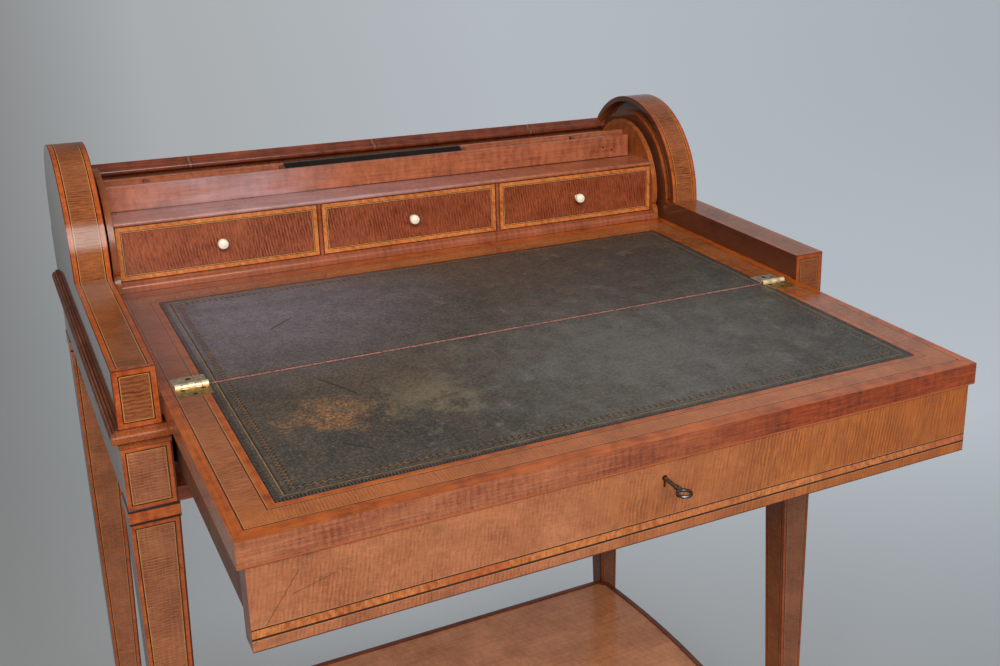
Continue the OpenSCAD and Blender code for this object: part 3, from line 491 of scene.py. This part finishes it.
def small_front_wood(name, node):
    """Nest drawer front: dark upright ripple, painted redder to the right as shade, inside a fine box string
    and a golden cross band."""
    made, tree = material(name)
    place = place_of(tree)
    edge, _ = edge_of(tree, place, *corners(node), (0, 2))
    lean = add(tree, MAPPING, {"Vector": place, "Rotation": (0.0, math.radians(8), 0.0)})
    field, height = figure(tree, lean, *REDDISH, (0.33, 0.0, 0.0), (1.2, 60.0, 8.0), (0.8, 60.0, 16.0),
                           0.75, 0.3)
    band, _ = figure(tree, place, *GOLD, (0.1, 0.0, 0.1), (4.0, 18.0, 4.0), (2.0, 30.0, 2.0), 0.5, 0.4)
    x = add(tree, SPLIT, [place])
    # Painted shade: the field deepens to a darker red toward the middle and right, where less sheen falls.
    field = tint(tree, field, "#7a2e04", [x, -130.0, 0.0, 0.0, 0.24])
    colour = inlay(tree, edge, [(-5.0, 4.4, band), (-5.0, 0.3, ARRIS), (4.4, 5.0, EBONY_AND_SHADOW),
                                (5.0, 5.6, "#c99a5e"), (5.6, 6.1, EBONY_AND_SHADOW)], field)
    polish(tree, place, colour, height)
    return made


def worn_leather():
    """Calf over the writing surface: dark green gone grey, rubbed brown in patches at the left and paler
    across the middle, scuffed and creased, with a gilt line and a blind-tooled chain round it, and red
    piping at the fold. Dull but sleek, so that it mirrors light at a low angle. The calf's pores are drawn
    at 1.5 mm, coarser than they are, so that they show."""
    made, tree = material("leather_dark_green_tooled")
    place = place_of(tree)
    edge, upright = edge_of(tree, place, *corners(*LEATHERS), (0, 1))
    broad = speckle(tree, place, (150.0, 110.0, 80.0), 5.0, 0.6)
    fine = speckle(tree, place, (5.0, 8.0, 6.0), 6.0, 0.75)
    mottle = speckle(tree, place, (24.0, 34.0, 26.0), 9.0, 0.76, (6.0, 1.0, 0.0))
    torn = speckle(tree, place, (20.0, 30.0, 20.0), 9.0, 0.74, (2.0, 5.0, 0.0))
    grit = speckle(tree, place, (2.2, 2.6, 2.2), 4.0, 0.7, (5.0, 5.0, 5.0))
    fleck = speckle(tree, place, (5.0, 6.0, 5.0), 2.0, 0.5, (1.0, 8.0, 3.0))
    island = speckle(tree, place, (9.0, 12.0, 9.0), 6.0, 0.7)
    colour = add(tree, RAMP, [broad], stops=[(0.32, "#38362f"), (0.50, "#49443c"), (0.68, "#574c3e")])
    colour = tint(tree, colour, "#292a27", [fine, 0.35, 0.7, 0.0, 0.6])
    colour = tint(tree, colour, "#6b5a45", [mottle, 0.48, 0.74, 0.0, 0.6])
    worn = tint(tree, "#74492c", "#b08048", [grit, 0.42, 0.62, 0.0, 1.0])
    worn = tint(tree, worn, "#54493c", [island, 0.46, 0.60, 0.0, 0.75])
    # Rubbed patches: middle, reach, colour, strength, and how ragged the edge is
    patches = [((-196.0, -188.0), 60.0, worn, 0.95, 0.75),
               ((-124.0, -190.0), 74.0, "#7c6e4e", 0.8, 0.75),
               ((-150.0, -110.0), 110.0, "#55483a", 0.7, 0.75),
               ((60.0, -190.0), 300.0, "#6a6a66", 0.72, 0.35)]
    for middle, reach, paint, most, ragged in patches:
        away = add(tree, VECTOR, [place, (*middle, SURFACE)], 1, operation="DISTANCE")
        fray = add(tree, RANGE, [torn, 0.3, 0.7, -ragged, ragged])
        near = add(tree, MATH, [add(tree, RANGE, [away, 0.0, reach, 1.0, 0.0]), fray], operation="ADD")
        colour = tint(tree, colour, paint, [near, 0.35, 0.95, 0.0, most])
    colour = tint(tree, colour, "#80766a", [grit, 0.50, 0.68, 0.0, 0.42])
    colour = tint(tree, colour, "#23221f", [grit, 0.50, 0.34, 0.0, 0.38])
    colour = tint(tree, colour, "#a9a08c", [fleck, 0.765, 0.79, 0.0, 0.6])
    # Painted sheen: a pale violet reflection at the left rear, broken up by the grain
    away = add(tree, VECTOR, [place, (-200.0, 75.0, SURFACE)], 1, operation="DISTANCE")
    painted_sheen = add(tree, RANGE, [away, 0.0, 210.0, 0.75, 0.0])
    painted_sheen = add(tree, MATH, [painted_sheen, add(tree, RANGE, [mottle, 0.3, 0.6, 0.5, 1.2])], operation="MULTIPLY")
    painted_sheen = add(tree, MATH, [painted_sheen, add(tree, RANGE, [grit, 0.36, 0.62, 0.55, 1.4])], operation="MULTIPLY",
               use_clamp=True)
    colour = add(tree, MIX, {0: painted_sheen, 6: colour, 7: "#7d7b86"}, 2, data_type="RGBA")
    # Tooling: a scalloped chain in dark dashes, a gilt line, and hatching at the edge
    run = add(tree, SPLIT, [turned(tree, place, upright)])
    scallops = add(tree, MATH, [add(tree, MATH, [wave(tree, run, SCALLOP)], operation="ABSOLUTE"), 2.4, 13.6],
                   operation="MULTIPLY_ADD")
    from_arc = off(tree, edge, scallops)
    chain = add(tree, MATH, [add(tree, RANGE, [from_arc, 1.4, 2.8, 0.9, 0.0]),
                             add(tree, RANGE, [wave(tree, run, DASH), -0.4, 0.2, 0.0, 1.0])],
                operation="MULTIPLY")
    brown = add(tree, MATH, [add(tree, RANGE, [from_arc, 0.45, 0.75, 1.0, 0.0]),
                             add(tree, RANGE, [mottle, 0.35, 0.6, 0.35, 0.95])], operation="MULTIPLY")
    gilt = tint(tree, colour, "#a8803e", [fine, 0.40, 0.6, 0.3, 0.95])
    dark = tint(tree, colour, "#161716", [wave(tree, run, HATCH), -0.2, 0.4, 0.0, 1.0])
    colour = add(tree, MIX, {0: chain, 6: colour, 7: "#100e0c"}, 2, data_type="RGBA")
    colour = add(tree, MIX, {0: brown, 6: colour, 7: "#8a6238"}, 2, data_type="RGBA")
    colour = inlay(tree, edge, [(-1.0, 0.9, "#1c1c1a"), (0.9, 4.4, dark), (7.2, 8.0, gilt),
                                (8.6, 9.1, "#1f1d1a")], colour)
    piping = tint(tree, "#7a4034", "#b58578", [grit, 0.40, 0.60, 0.0, 1.0])
    y = add(tree, SPLIT, [place], 1)
    colour = inlay(tree, off(tree, y, SEAM), [(-1.0, 1.9, piping), (1.9, 3.0, "#2a2521")], colour)
    colour = scratched(tree, place, colour, "#1d1c1a", LEATHER_CREASES, 1.3, 0.8)
    pores = speckle(tree, place, (1.5, 1.5, 1.5), 4.0, 0.7)
    creases = speckle(tree, place, (22.0, 9.0, 9.0), 5.0, 0.75, (3.0, 7.0, 0.0))
    height = add(tree, MATH, [pores, add(tree, MATH, [creases, 2.0], operation="MULTIPLY")], operation="ADD")
    pressed = inlay(tree, edge, [(7.0, 8.2, "#000000"), (8.4, 9.3, "#000000")], "#ffffff")
    height = add(tree, MATH, [height, pressed], operation="ADD")
    rub = add(tree, RANGE, [creases, 0.35, 0.65, 0.34, 0.50])
    close(tree, colour, rub, height, 0.0005, IOR=1.42)
    return made


def faded_wood(name, sheen_at=None, lined=False):
    """The nest's thin boards: faded mahogany, dark at the joint where the letter rack stands on the shelf.
    Some have a painted bluish sheen round one place, with nail holes at the rack's right end, and the
    rack's back board has a black lining in the middle compartment."""
    made, tree = material(name)
    place = place_of(tree)
    x, y, z = add(tree, SPLIT, [place]).node.outputs
    colour, height = figure(tree, place, "#7c3c26", "#bd704c", (0.1, 0.0, 0.0), (6.0, 20.0, 12.0),
                            (60.0, 1.5, 1.5), 0.3, 0.5)
    joint = add(tree, RANGE, [off(tree, y, corners("rack_front")[0][1]), 0.9, 1.4, 0.8, 0.0])
    low = add(tree, MATH, [z, corners("nest_top")[1][2] + 1.0], operation="LESS_THAN")
    joint = add(tree, MATH, [joint, low], operation="MULTIPLY")
    colour = add(tree, MIX, {0: joint, 6: colour, 7: "#3a180c"}, 2, data_type="RGBA")
    if lined:
        aside = off(tree, x, LINING_MIDDLE)
        colour = tint(tree, colour, "#1d1a19", [aside, LINING_HALF, LINING_HALF + 1.0, 1.0, 0.0])
    # Painted sheen: a pale bluish reflection round one place on the board.
    if sheen_at:
        *middle, reach = sheen_at
        away = add(tree, VECTOR, [place, middle], 1, operation="DISTANCE")
        painted_sheen = add(tree, RANGE, [away, 0.0, reach, 0.6, 0.0], interpolation_type="SMOOTHSTEP")
        streak = speckle(tree, place, (50.0, 8.0, 7.0), 5.0, 0.6)
        painted_sheen = add(tree, MATH, [painted_sheen, add(tree, RANGE, [streak, 0.3, 0.6, 0.4, 1.0])], operation="MULTIPLY")
        colour = add(tree, MIX, {0: painted_sheen, 6: colour, 7: "#b9a3ac"}, 2, data_type="RGBA")
        for hole in NAIL_HOLES:
            away = add(tree, VECTOR, [place, hole], 1, operation="DISTANCE")
            colour = tint(tree, colour, "#1f120c", [away, 0.9, 1.4, 1.0, 0.0])
    polish(tree, place, colour, height, 0.3)
    return made


def moulding_wood():
    """Waist moulding: red mahogany, rubbed bright on the front returns and dull, with fine reeds along the
    desk's sides whose grooves are painted dark as shade."""
    made, tree = material("mahogany_mouldings_reeded")
    place = place_of(tree)
    x, y, z = add(tree, SPLIT, [place]).node.outputs
    colour, height = figure(tree, place, "#5e2610", "#aa5c30", (0.0, 0.05, 0.0), (6.0, 30.0, 6.0),
                            (1.5, 90.0, 1.5), 0.3, 0.6)
    slope = add(tree, MATH, [add(tree, MATH, [x], operation="ABSOLUTE"), z], operation="SUBTRACT")
    along = add(tree, MATH, [y, corners("cheek_left")[0][1] + 1.0], operation="GREATER_THAN")
    # Painted shade: dark lines where the reeds' grooves would lie in shade; the same mask dents the bump.
    groove_and_shade = add(tree, MATH, [add(tree, RANGE, [wave(tree, slope, REED), 0.0, 0.7, 0.0, 0.85]), along],
                 operation="MULTIPLY")
    colour = add(tree, MIX, {0: groove_and_shade, 6: colour, 7: "#1c0c06"}, 2, data_type="RGBA")
    height = add(tree, MATH, [groove_and_shade, -6.0, height], operation="MULTIPLY_ADD")
    bright = add(tree, RANGE, [along, 0.0, 1.0, 0.8, 0.0])
    polish(tree, place, colour, height, 0.46, 0.00012, coat=0.0, sleek=bright, ior=1.28)
    return made


def nosing_wood():
    """The cylinder's bead: dark mahogany with three small let-in plugs, paler between fine dark joints."""
    made, tree = material("mahogany_nosing")
    place = place_of(tree)
    colour, height = figure(tree, place, *MAHOGANY, (0.05, 0.0, 0.0), (30.0, 6.0, 6.0), (90.0, 1.5, 1.5),
                            0.3, 0.6)
    x = add(tree, SPLIT, [place])
    for middle in PLUGS:
        colour = inlay(tree, off(tree, x, middle), [(-1.0, 1.8, "#7c4a32"), (1.8, 2.6, "#23100a")], colour)
    polish(tree, place, colour, height)
    return made


def metal(name, dark, light, rough, period, bare=1.0, knuckle=None):
    """A rubbed metal: its colour runs between two tones in blotches and its dullness with them. Below 1, bare
    leaves part of the surface to dull oxide. A hinge's knuckles, round the pin's axis, are worn bright."""
    made, tree = material(name)
    place = place_of(tree)
    blotch = speckle(tree, place, (period, period, period), 5.0, 0.65)
    scratch = speckle(tree, place, (8.0, 0.3, 0.3), 3.0, 0.6)
    dull = add(tree, RANGE, [blotch, 0.3, 0.7, rough + 0.15, rough])
    colour = tint(tree, dark, light, [blotch, 0.35, 0.65, 0.0, 1.0])
    if knuckle:
        _, y, z = add(tree, SPLIT, [place]).node.outputs
        across = add(tree, JOIN, [0.0, y, z])
        away = add(tree, VECTOR, [across, (0.0, SEAM, HINGE_AXIS)], 1, operation="DISTANCE")
        colour = tint(tree, colour, knuckle, [away, 3.0, 3.4, 1.0, 0.0])
    close(tree, colour, dull, scratch, 0.00003, Metallic=bare)
    return made


def turned_bone():
    """Bone knobs: creamy, with faint streaks along the turning, sleek from handling. The streaks are drawn
    at 0.9 mm, coarser than they are, so that they show."""
    made, tree = material("bone_turned")
    streak = speckle(tree, place_of(tree), (0.9, 8.0, 0.9), 4.0, 0.6)
    colour = add(tree, RAMP, [streak], stops=[(0.3, "#e6d9ba"), (0.55, "#f7eedb"), (0.8, "#fbf6ea")])
    close(tree, colour, 0.28, streak, 0.00002, IOR=1.54)
    return made


def rounding():
    """A node group that shades every face of a piece smooth."""
    group = bpy.data.node_groups.new("shaded_smooth", "GeometryNodeTree")
    group.interface.new_socket("Geometry", in_out="INPUT", socket_type="NodeSocketGeometry")
    group.interface.new_socket("Geometry", in_out="OUTPUT", socket_type="NodeSocketGeometry")
    start = group.nodes.new("NodeGroupInput")
    smooth = add(group, "GeometryNodeSetShadeSmooth", {"Geometry": start.outputs[0]})
    group.links.new(smooth, group.nodes.new("NodeGroupOutput").inputs[0])
    return group


def soften(group, width, *nodes):
    """Rubs down the arrises of CAD nodes by so many millimetres: welded, bevelled and shaded so that flat
    faces stay flat and the arris catches the light."""
    for node in nodes:
        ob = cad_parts[node]
        ob.modifiers.new("weld", "WELD").merge_threshold = 0.00001
        bevel = ob.modifiers.new("arris", "BEVEL")
        bevel.width = width / 1000
        bevel.segments = 2
        bevel.limit_method = "ANGLE"
        bevel.angle_limit = math.radians(35)
        ob.modifiers.new("smooth", "NODES").node_group = group
        ob.modifiers.new("faces", "WEIGHTED_NORMAL").keep_sharp = True


def dress(made, *nodes):
    """Gives a material to CAD nodes."""
    for node in nodes:
        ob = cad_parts[node]
        ob.data.materials.clear()
        ob.data.materials.append(made)


# Solid woods: figure, ripple beat, ripple and grain in millimetres, and how deep each of the two shows
board_x = solid_wood("mahogany_boards", MAHOGANY, (0.05, 0.0, 0.0), (30.0, 6.0, 6.0), (120.0, 1.5, 1.5),
                     0.3, 0.8)
# Painted shade: a dark mahogany used only on the rack's dividers, for the shade on their faces and end grain.
divider_wood_painted_shade = solid_wood("mahogany_sides", MAHOGANY, (0.0, 0.05, 0.0), (6.0, 30.0, 6.0), (1.5, 120.0, 1.5),
                     0.3, 0.8)
nest_board = solid_wood("mahogany_nest_faded", ("#76351f", "#ac6342"), (0.14, 0.0, 0.0), (4.0, 20.0, 40.0),
                        (120.0, 1.5, 1.5), 0.35, 0.5)
shelf_wood = solid_wood("satinwood_shelf", ("#ac6440", "#ea9e6c"), (0.10, 0.03, 0.0), (4.0, 12.0, 12.0),
                        (110.0, 1.3, 1.3), 0.14, 0.4, rough=0.14)
apron_wood = solid_wood("satinwood_aprons", ("#4c2614", "#874e32"), (0.0, 0.05, 0.0), (6.0, 30.0, 6.0),
                        (1.5, 90.0, 1.5), 0.2, 0.3, rough=0.10)
fall_wood = solid_wood("satinwood_fall", CROSS, (0.28, 0.0, 0.0), (1.8, 26.0, 26.0), (110.0, 1.5, 1.5),
                       0.45, 0.3)
oak_x = solid_wood("oak_waxed", OAK, (0.02, 0.0, 0.0), (50.0, 8.0, 8.0), (100.0, 1.2, 1.2),
                   0.2, 0.8, rough=0.5)
oak_y = solid_wood("oak_waxed_sides", OAK, (0.0, 0.02, 0.0), (8.0, 50.0, 8.0), (1.2, 100.0, 1.2),
                   0.2, 0.8, rough=0.5)
# Painted shade: the drawer's sides are a darker copy of the oak, as they stand in shade under the flap.
side_wood_painted_shade = solid_wood("oak_drawer_sides_painted_shade", ("#40241a", "#6e4430"), (0.0, 0.03, 0.0),
                       (8.0, 40.0, 5.0), (1.2, 90.0, 1.2), 0.2, 0.6, rough=0.45)
end_wood = solid_wood("satinwood_nest_ends", ("#7d3816", "#b4652e"), (0.0, 0.06, 0.03), (9.0, 9.0, 20.0),
                      (1.4, 1.4, 70.0), 0.4, 0.7)
brass = metal("brass_tarnished", "#7c5a28", "#d0a354", 0.30, 3.0, 0.8, KNUCKLE)
brass_dull = metal("brass_gone_grey", "#85725e", "#c0b098", 0.42, 3.0, 0.55, KNUCKLE)
screw_iron = metal("screws_blackened", "#2b2320", "#6b5c50", 0.4, 1.5)
steel = metal("steel_darkened", "#3f3b3a", "#8b8785", 0.28, 3.0)
bone = turned_bone()

dress(leg_wood(), *LEGS)
dress(cheek_wood(), *CHEEKS)
dress(frieze_wood(), "drawer_front")
dress(border_wood(), *BOARDS)
dress(worn_leather(), *LEATHERS)
dress(apron_wood, *APRONS)
dress(moulding_wood(), *MOULDINGS)
dress(board_x, "back_panel", "front_rail", "undershelf_bead")
dress(nosing_wood(), "cylinder_nosing")
dress(nest_board, "nest_partitions", "nest_base")
dress(divider_wood_painted_shade, "rack_dividers")
dress(faded_wood("mahogany_rack_painted_sheen", (-180.0, 232.0, 834.0, 140.0)), "rack_front")
dress(faded_wood("mahogany_rack_lined", lined=True), "rack_back")
dress(faded_wood("mahogany_shelf_painted_sheen", (-120.0, 210.0, 823.0, 330.0)), "nest_top")
dress(shelf_wood, "undershelf")
dress(fall_wood, "cylinder_shell")
dress(end_wood, *NEST_ENDS)
dress(oak_x, "carcass_bottom", "drawer_back", "drawer_bottom", "nest_back")
dress(oak_y, "drawer_runner_left", "drawer_runner_right")
dress(side_wood_painted_shade, *DRAWER_SIDES)
dress(brass, "hinge_flap_leaves", "lock_case", "lock_bolt")
dress(brass_dull, "hinge_bed_leaves")
dress(screw_iron, "hinge_bed_screws", "hinge_flap_screws")
dress(steel, "hinge_pins", "key")
for which in SMALL_DRAWERS:
    stem = "small_drawer_" + which + "_"
    dress(small_front_wood("satinwood_nest_front_" + which, stem + "front"), stem + "front")
    dress(oak_y, stem + "sides")
    dress(oak_x, stem + "back", stem + "bottom")
    dress(bone, stem + "knob")

smooth_group = rounding()
soften(smooth_group, 0.5, *LEGS, *CHEEKS, *BOARDS, *APRONS, "back_panel", "front_rail", "undershelf")
soften(smooth_group, 0.4, *MOULDINGS, *NEST_ENDS, "drawer_front", "nest_base", "nest_top", "nest_partitions",
       "rack_front", "rack_back", "undershelf_bead", "cylinder_nosing")
soften(smooth_group, 0.25, *["small_drawer_" + which + "_front" for which in SMALL_DRAWERS], *DRAWER_SIDES,
       "rack_dividers")
soften(smooth_group, 0.12, *LEAVES, "key")


def quads(rings, count, closed=True):
    """The faces of a grid of rings of count points each: every face joins two neighbours on one ring to the
    same two on the next. On a closed ring the last point is the first one's neighbour."""
    ring, here = np.meshgrid(np.arange(rings - 1), np.arange(count if closed else count - 1), indexing="ij")
    there = (here + 1) % count
    sides = [ring * count + here, (ring + 1) * count + here, (ring + 1) * count + there, ring * count + there]
    return np.stack(sides, axis=2).reshape(-1, 4)


def surface(name, points, faces, made):
    """A smooth mesh of one material from points in metres, linked to the scene."""
    mesh = bpy.data.meshes.new(name)
    mesh.from_pydata(points.tolist(), [], faces)
    mesh.polygons.foreach_set("use_smooth", [True] * len(mesh.polygons))
    mesh.materials.append(made)
    ob = bpy.data.objects.new(name, mesh)
    bpy.context.scene.collection.objects.link(ob)
    return ob


# A knob's profile from its front middle to its neck: radius and depth, as shares of the knob's own
KNOB_PROFILE = [(0.0, 0.0), (0.32, 0.0), (0.36, 0.05), (0.80, 0.08), (0.97, 0.26), (0.99, 0.50), (0.80, 0.74),
                (0.46, 0.82), (0.42, 0.93), (0.60, 0.97), (0.60, 1.0), (0.30, 1.0)]
KNOB_CUTS = 3
KNOB_STEPS = 40
KNOB_SET_BACK = 0.4


def turned_knob(which, made):
    """A turned bone knob. Its surface is a profile swept round the knob's own axis: for each step u along
    the smoothed profile and each angle v, the point lies at the profile's radius from the axis and at the
    profile's distance in front of the drawer. The profile is rounded by cutting its corners three times, and
    the shank's end stops a little short of the solid's."""
    low, high = corners("small_drawer_" + which + "_knob")
    front, face, back = low[1], corners("small_drawer_" + which + "_front")[0][1], high[1] - KNOB_SET_BACK
    reach, radius = face - front, (high[0] - low[0]) / 2
    outline = np.array(KNOB_PROFILE)
    for _ in range(KNOB_CUTS):
        cut = np.empty((2 * len(outline) - 2, 2))
        cut[0::2] = 0.75 * outline[:-1] + 0.25 * outline[1:]
        cut[1::2] = 0.25 * outline[:-1] + 0.75 * outline[1:]
        outline = np.vstack([outline[:1], cut, outline[-1:]])
    shank = KNOB_PROFILE[-1][0] * radius
    r = np.append(outline[1:, 0] * radius, shank)
    y = np.append(front + outline[1:, 1] * reach, back)
    v = np.linspace(0.0, 2 * math.pi, KNOB_STEPS, endpoint=False)
    cx, cz = (low[0] + high[0]) / 2, (low[2] + high[2]) / 2
    grid = np.stack([cx + r[:, None] * np.cos(v), y[:, None] + 0 * v, cz + r[:, None] * np.sin(v)], axis=2)
    points = np.vstack([grid.reshape(-1, 3), [(cx, front, cz), (cx, back, cz)]]) / 1000
    n, m = len(r), len(v)
    faces = quads(n, m).tolist()
    faces += [(n * m, j, (j + 1) % m) for j in range(m)]
    faces += [(n * m + 1, (n - 1) * m + (j + 1) % m, (n - 1) * m + j) for j in range(m)]
    knob = surface("knob_" + which, points, faces, made)
    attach(knob, "small_drawer_" + which)
    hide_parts("small_drawer_" + which + "_knob")


for which in SMALL_DRAWERS:
    turned_knob(which, bone)

# Camera: where the photograph was taken from, worked out from the desk's own lines. The focal length and the
# picture's centre are in pixels
IMAGE_WIDTH, IMAGE_HEIGHT = 1000, 666
SENSOR = 36.0
yaw, pitch, roll = 0.5283, 0.31151, 0.0110
focal, centre_x, centre_y = 1216.96, 651.99, 275.53
eye = Vector((-0.4166, -1.03825, 1.1386))
forward = Vector((math.sin(yaw) * math.cos(pitch), math.cos(yaw) * math.cos(pitch), -math.sin(pitch)))
flat_right = Vector((math.cos(yaw), -math.sin(yaw), 0.0))
flat_up = flat_right.cross(forward)
right = math.cos(roll) * flat_right + math.sin(roll) * flat_up
up = -math.sin(roll) * flat_right + math.cos(roll) * flat_up
lens = bpy.data.cameras.new("camera")
camera = bpy.data.objects.new("camera", lens)
bpy.context.scene.collection.objects.link(camera)
camera.matrix_world = Matrix((
    (right.x, up.x, -forward.x, eye.x),
    (right.y, up.y, -forward.y, eye.y),
    (right.z, up.z, -forward.z, eye.z),
    (0.0, 0.0, 0.0, 1.0)))
lens.sensor_width = SENSOR
lens.lens = focal / IMAGE_WIDTH * SENSOR
lens.shift_x = (IMAGE_WIDTH / 2 - centre_x) / IMAGE_WIDTH
lens.shift_y = (centre_y - IMAGE_HEIGHT / 2) / IMAGE_WIDTH
lens.clip_start, lens.clip_end = 0.05, 60.0
bpy.context.scene.camera = camera

# Key light: one soft rectangular studio lamp, high in front and to the left
key_place = Vector((-0.8, -2.4, 2.35))
key_target = Vector((0.0, 0.0, 0.72))
key = bpy.data.lights.new("key", "AREA")
key.shape = "RECTANGLE"
key.size, key.size_y = 2.8, 1.3
key.energy = 128.0
key.color = linear("#faf6f1")[:3]
key_lamp = bpy.data.objects.new("key", key)
bpy.context.scene.collection.objects.link(key_lamp)
key_lamp.location = key_place
key_lamp.rotation_mode = "QUATERNION"
key_lamp.rotation_quaternion = (key_place - key_target).to_track_quat("Z", "Y")

# Room light: dim on the desk's left and toward the camera, paler on its right and behind it
world = bpy.data.worlds.new("studio")
bpy.context.scene.world = world
world.use_nodes = True
sky = world.node_tree
toward = add(sky, SPLIT, [add(sky, COORDINATES, out="Generated")]).node.outputs
shade = tint(sky, "#4c4d4e", "#c3ccd6", [toward[0], -0.6, 0.6, 0.0, 1.0])
shade = tint(sky, shade, "#3c3f42", [toward[1], -0.15, -0.75, 0.0, 0.75])
background = sky.nodes["Background"]
sky.links.new(shade, background.inputs["Color"])
background.inputs["Strength"].default_value = 0.66

# Backdrop paper, in metres: a floor that bends up into a wall in a quarter circle, carried along x. It glows
# for the camera, as a studio wall that has its own lamps, and in mirror images beyond the desk's right and
# left sides, and most of all as light that it throws back
FLOOR_FRONT, FLOOR_REAR = -5.0, 2.2
BEND = 1.2
WALL_TOP = 6.0
paper, tree = material("backdrop_paper")
x, y, z = add(tree, SPLIT, [place_of(tree)]).node.outputs
shade = add(tree, RAMP, [add(tree, RANGE, [x, -1000.0, 5000.0, 0.0, 1.0])],
            stops=[(0.10, "#7b7b77"), (0.22, "#8f9294"), (0.40, "#a9b1b9"), (0.85, "#a4adb6")])
rays = add(tree, "ShaderNodeLightPath").node.outputs
seen = rays["Is Camera Ray"]
for ray, part in (("Is Glossy Ray", add(tree, RANGE, [x, 1000.0, 3000.0, 0.1, 1.0])),
                  ("Is Glossy Ray", add(tree, RANGE, [x, -420.0, -520.0, 0.0, 1.7])),
                  ("Is Diffuse Ray", 1.8)):
    lit = add(tree, MATH, [rays[ray], part], operation="MULTIPLY")
    seen = add(tree, MATH, [seen, lit], operation="MAXIMUM")
glow = add(tree, RANGE, [x, -450.0, 150.0, 0.12, 0.29])
glow = add(tree, MATH, [glow, add(tree, RANGE, [y, 0.0, 800.0, 0.15, 1.0])], operation="MULTIPLY")
close(tree, shade, 0.9, Emission_Color="#f4faff",
      Emission_Strength=add(tree, MATH, [glow, seen], operation="MULTIPLY"))
angle = np.linspace(0.1, math.pi / 2, 16)
sweep_y = np.concatenate([[FLOOR_FRONT, FLOOR_REAR], FLOOR_REAR + BEND * np.sin(angle), [FLOOR_REAR + BEND]])
sweep_z = np.concatenate([[0.0, 0.0], BEND - BEND * np.cos(angle), [WALL_TOP]])
columns = np.array([-6.0, 0.0, 6.0])
points = np.stack([np.tile(columns, len(sweep_y)), np.repeat(sweep_y, len(columns)),
                   np.repeat(sweep_z, len(columns))], axis=1)
faces = quads(len(sweep_y), len(columns), closed=False)[:, [0, 3, 2, 1]].tolist()
backdrop = surface("backdrop", points, faces, paper)

bpy.context.scene.view_settings.view_transform = "Standard"
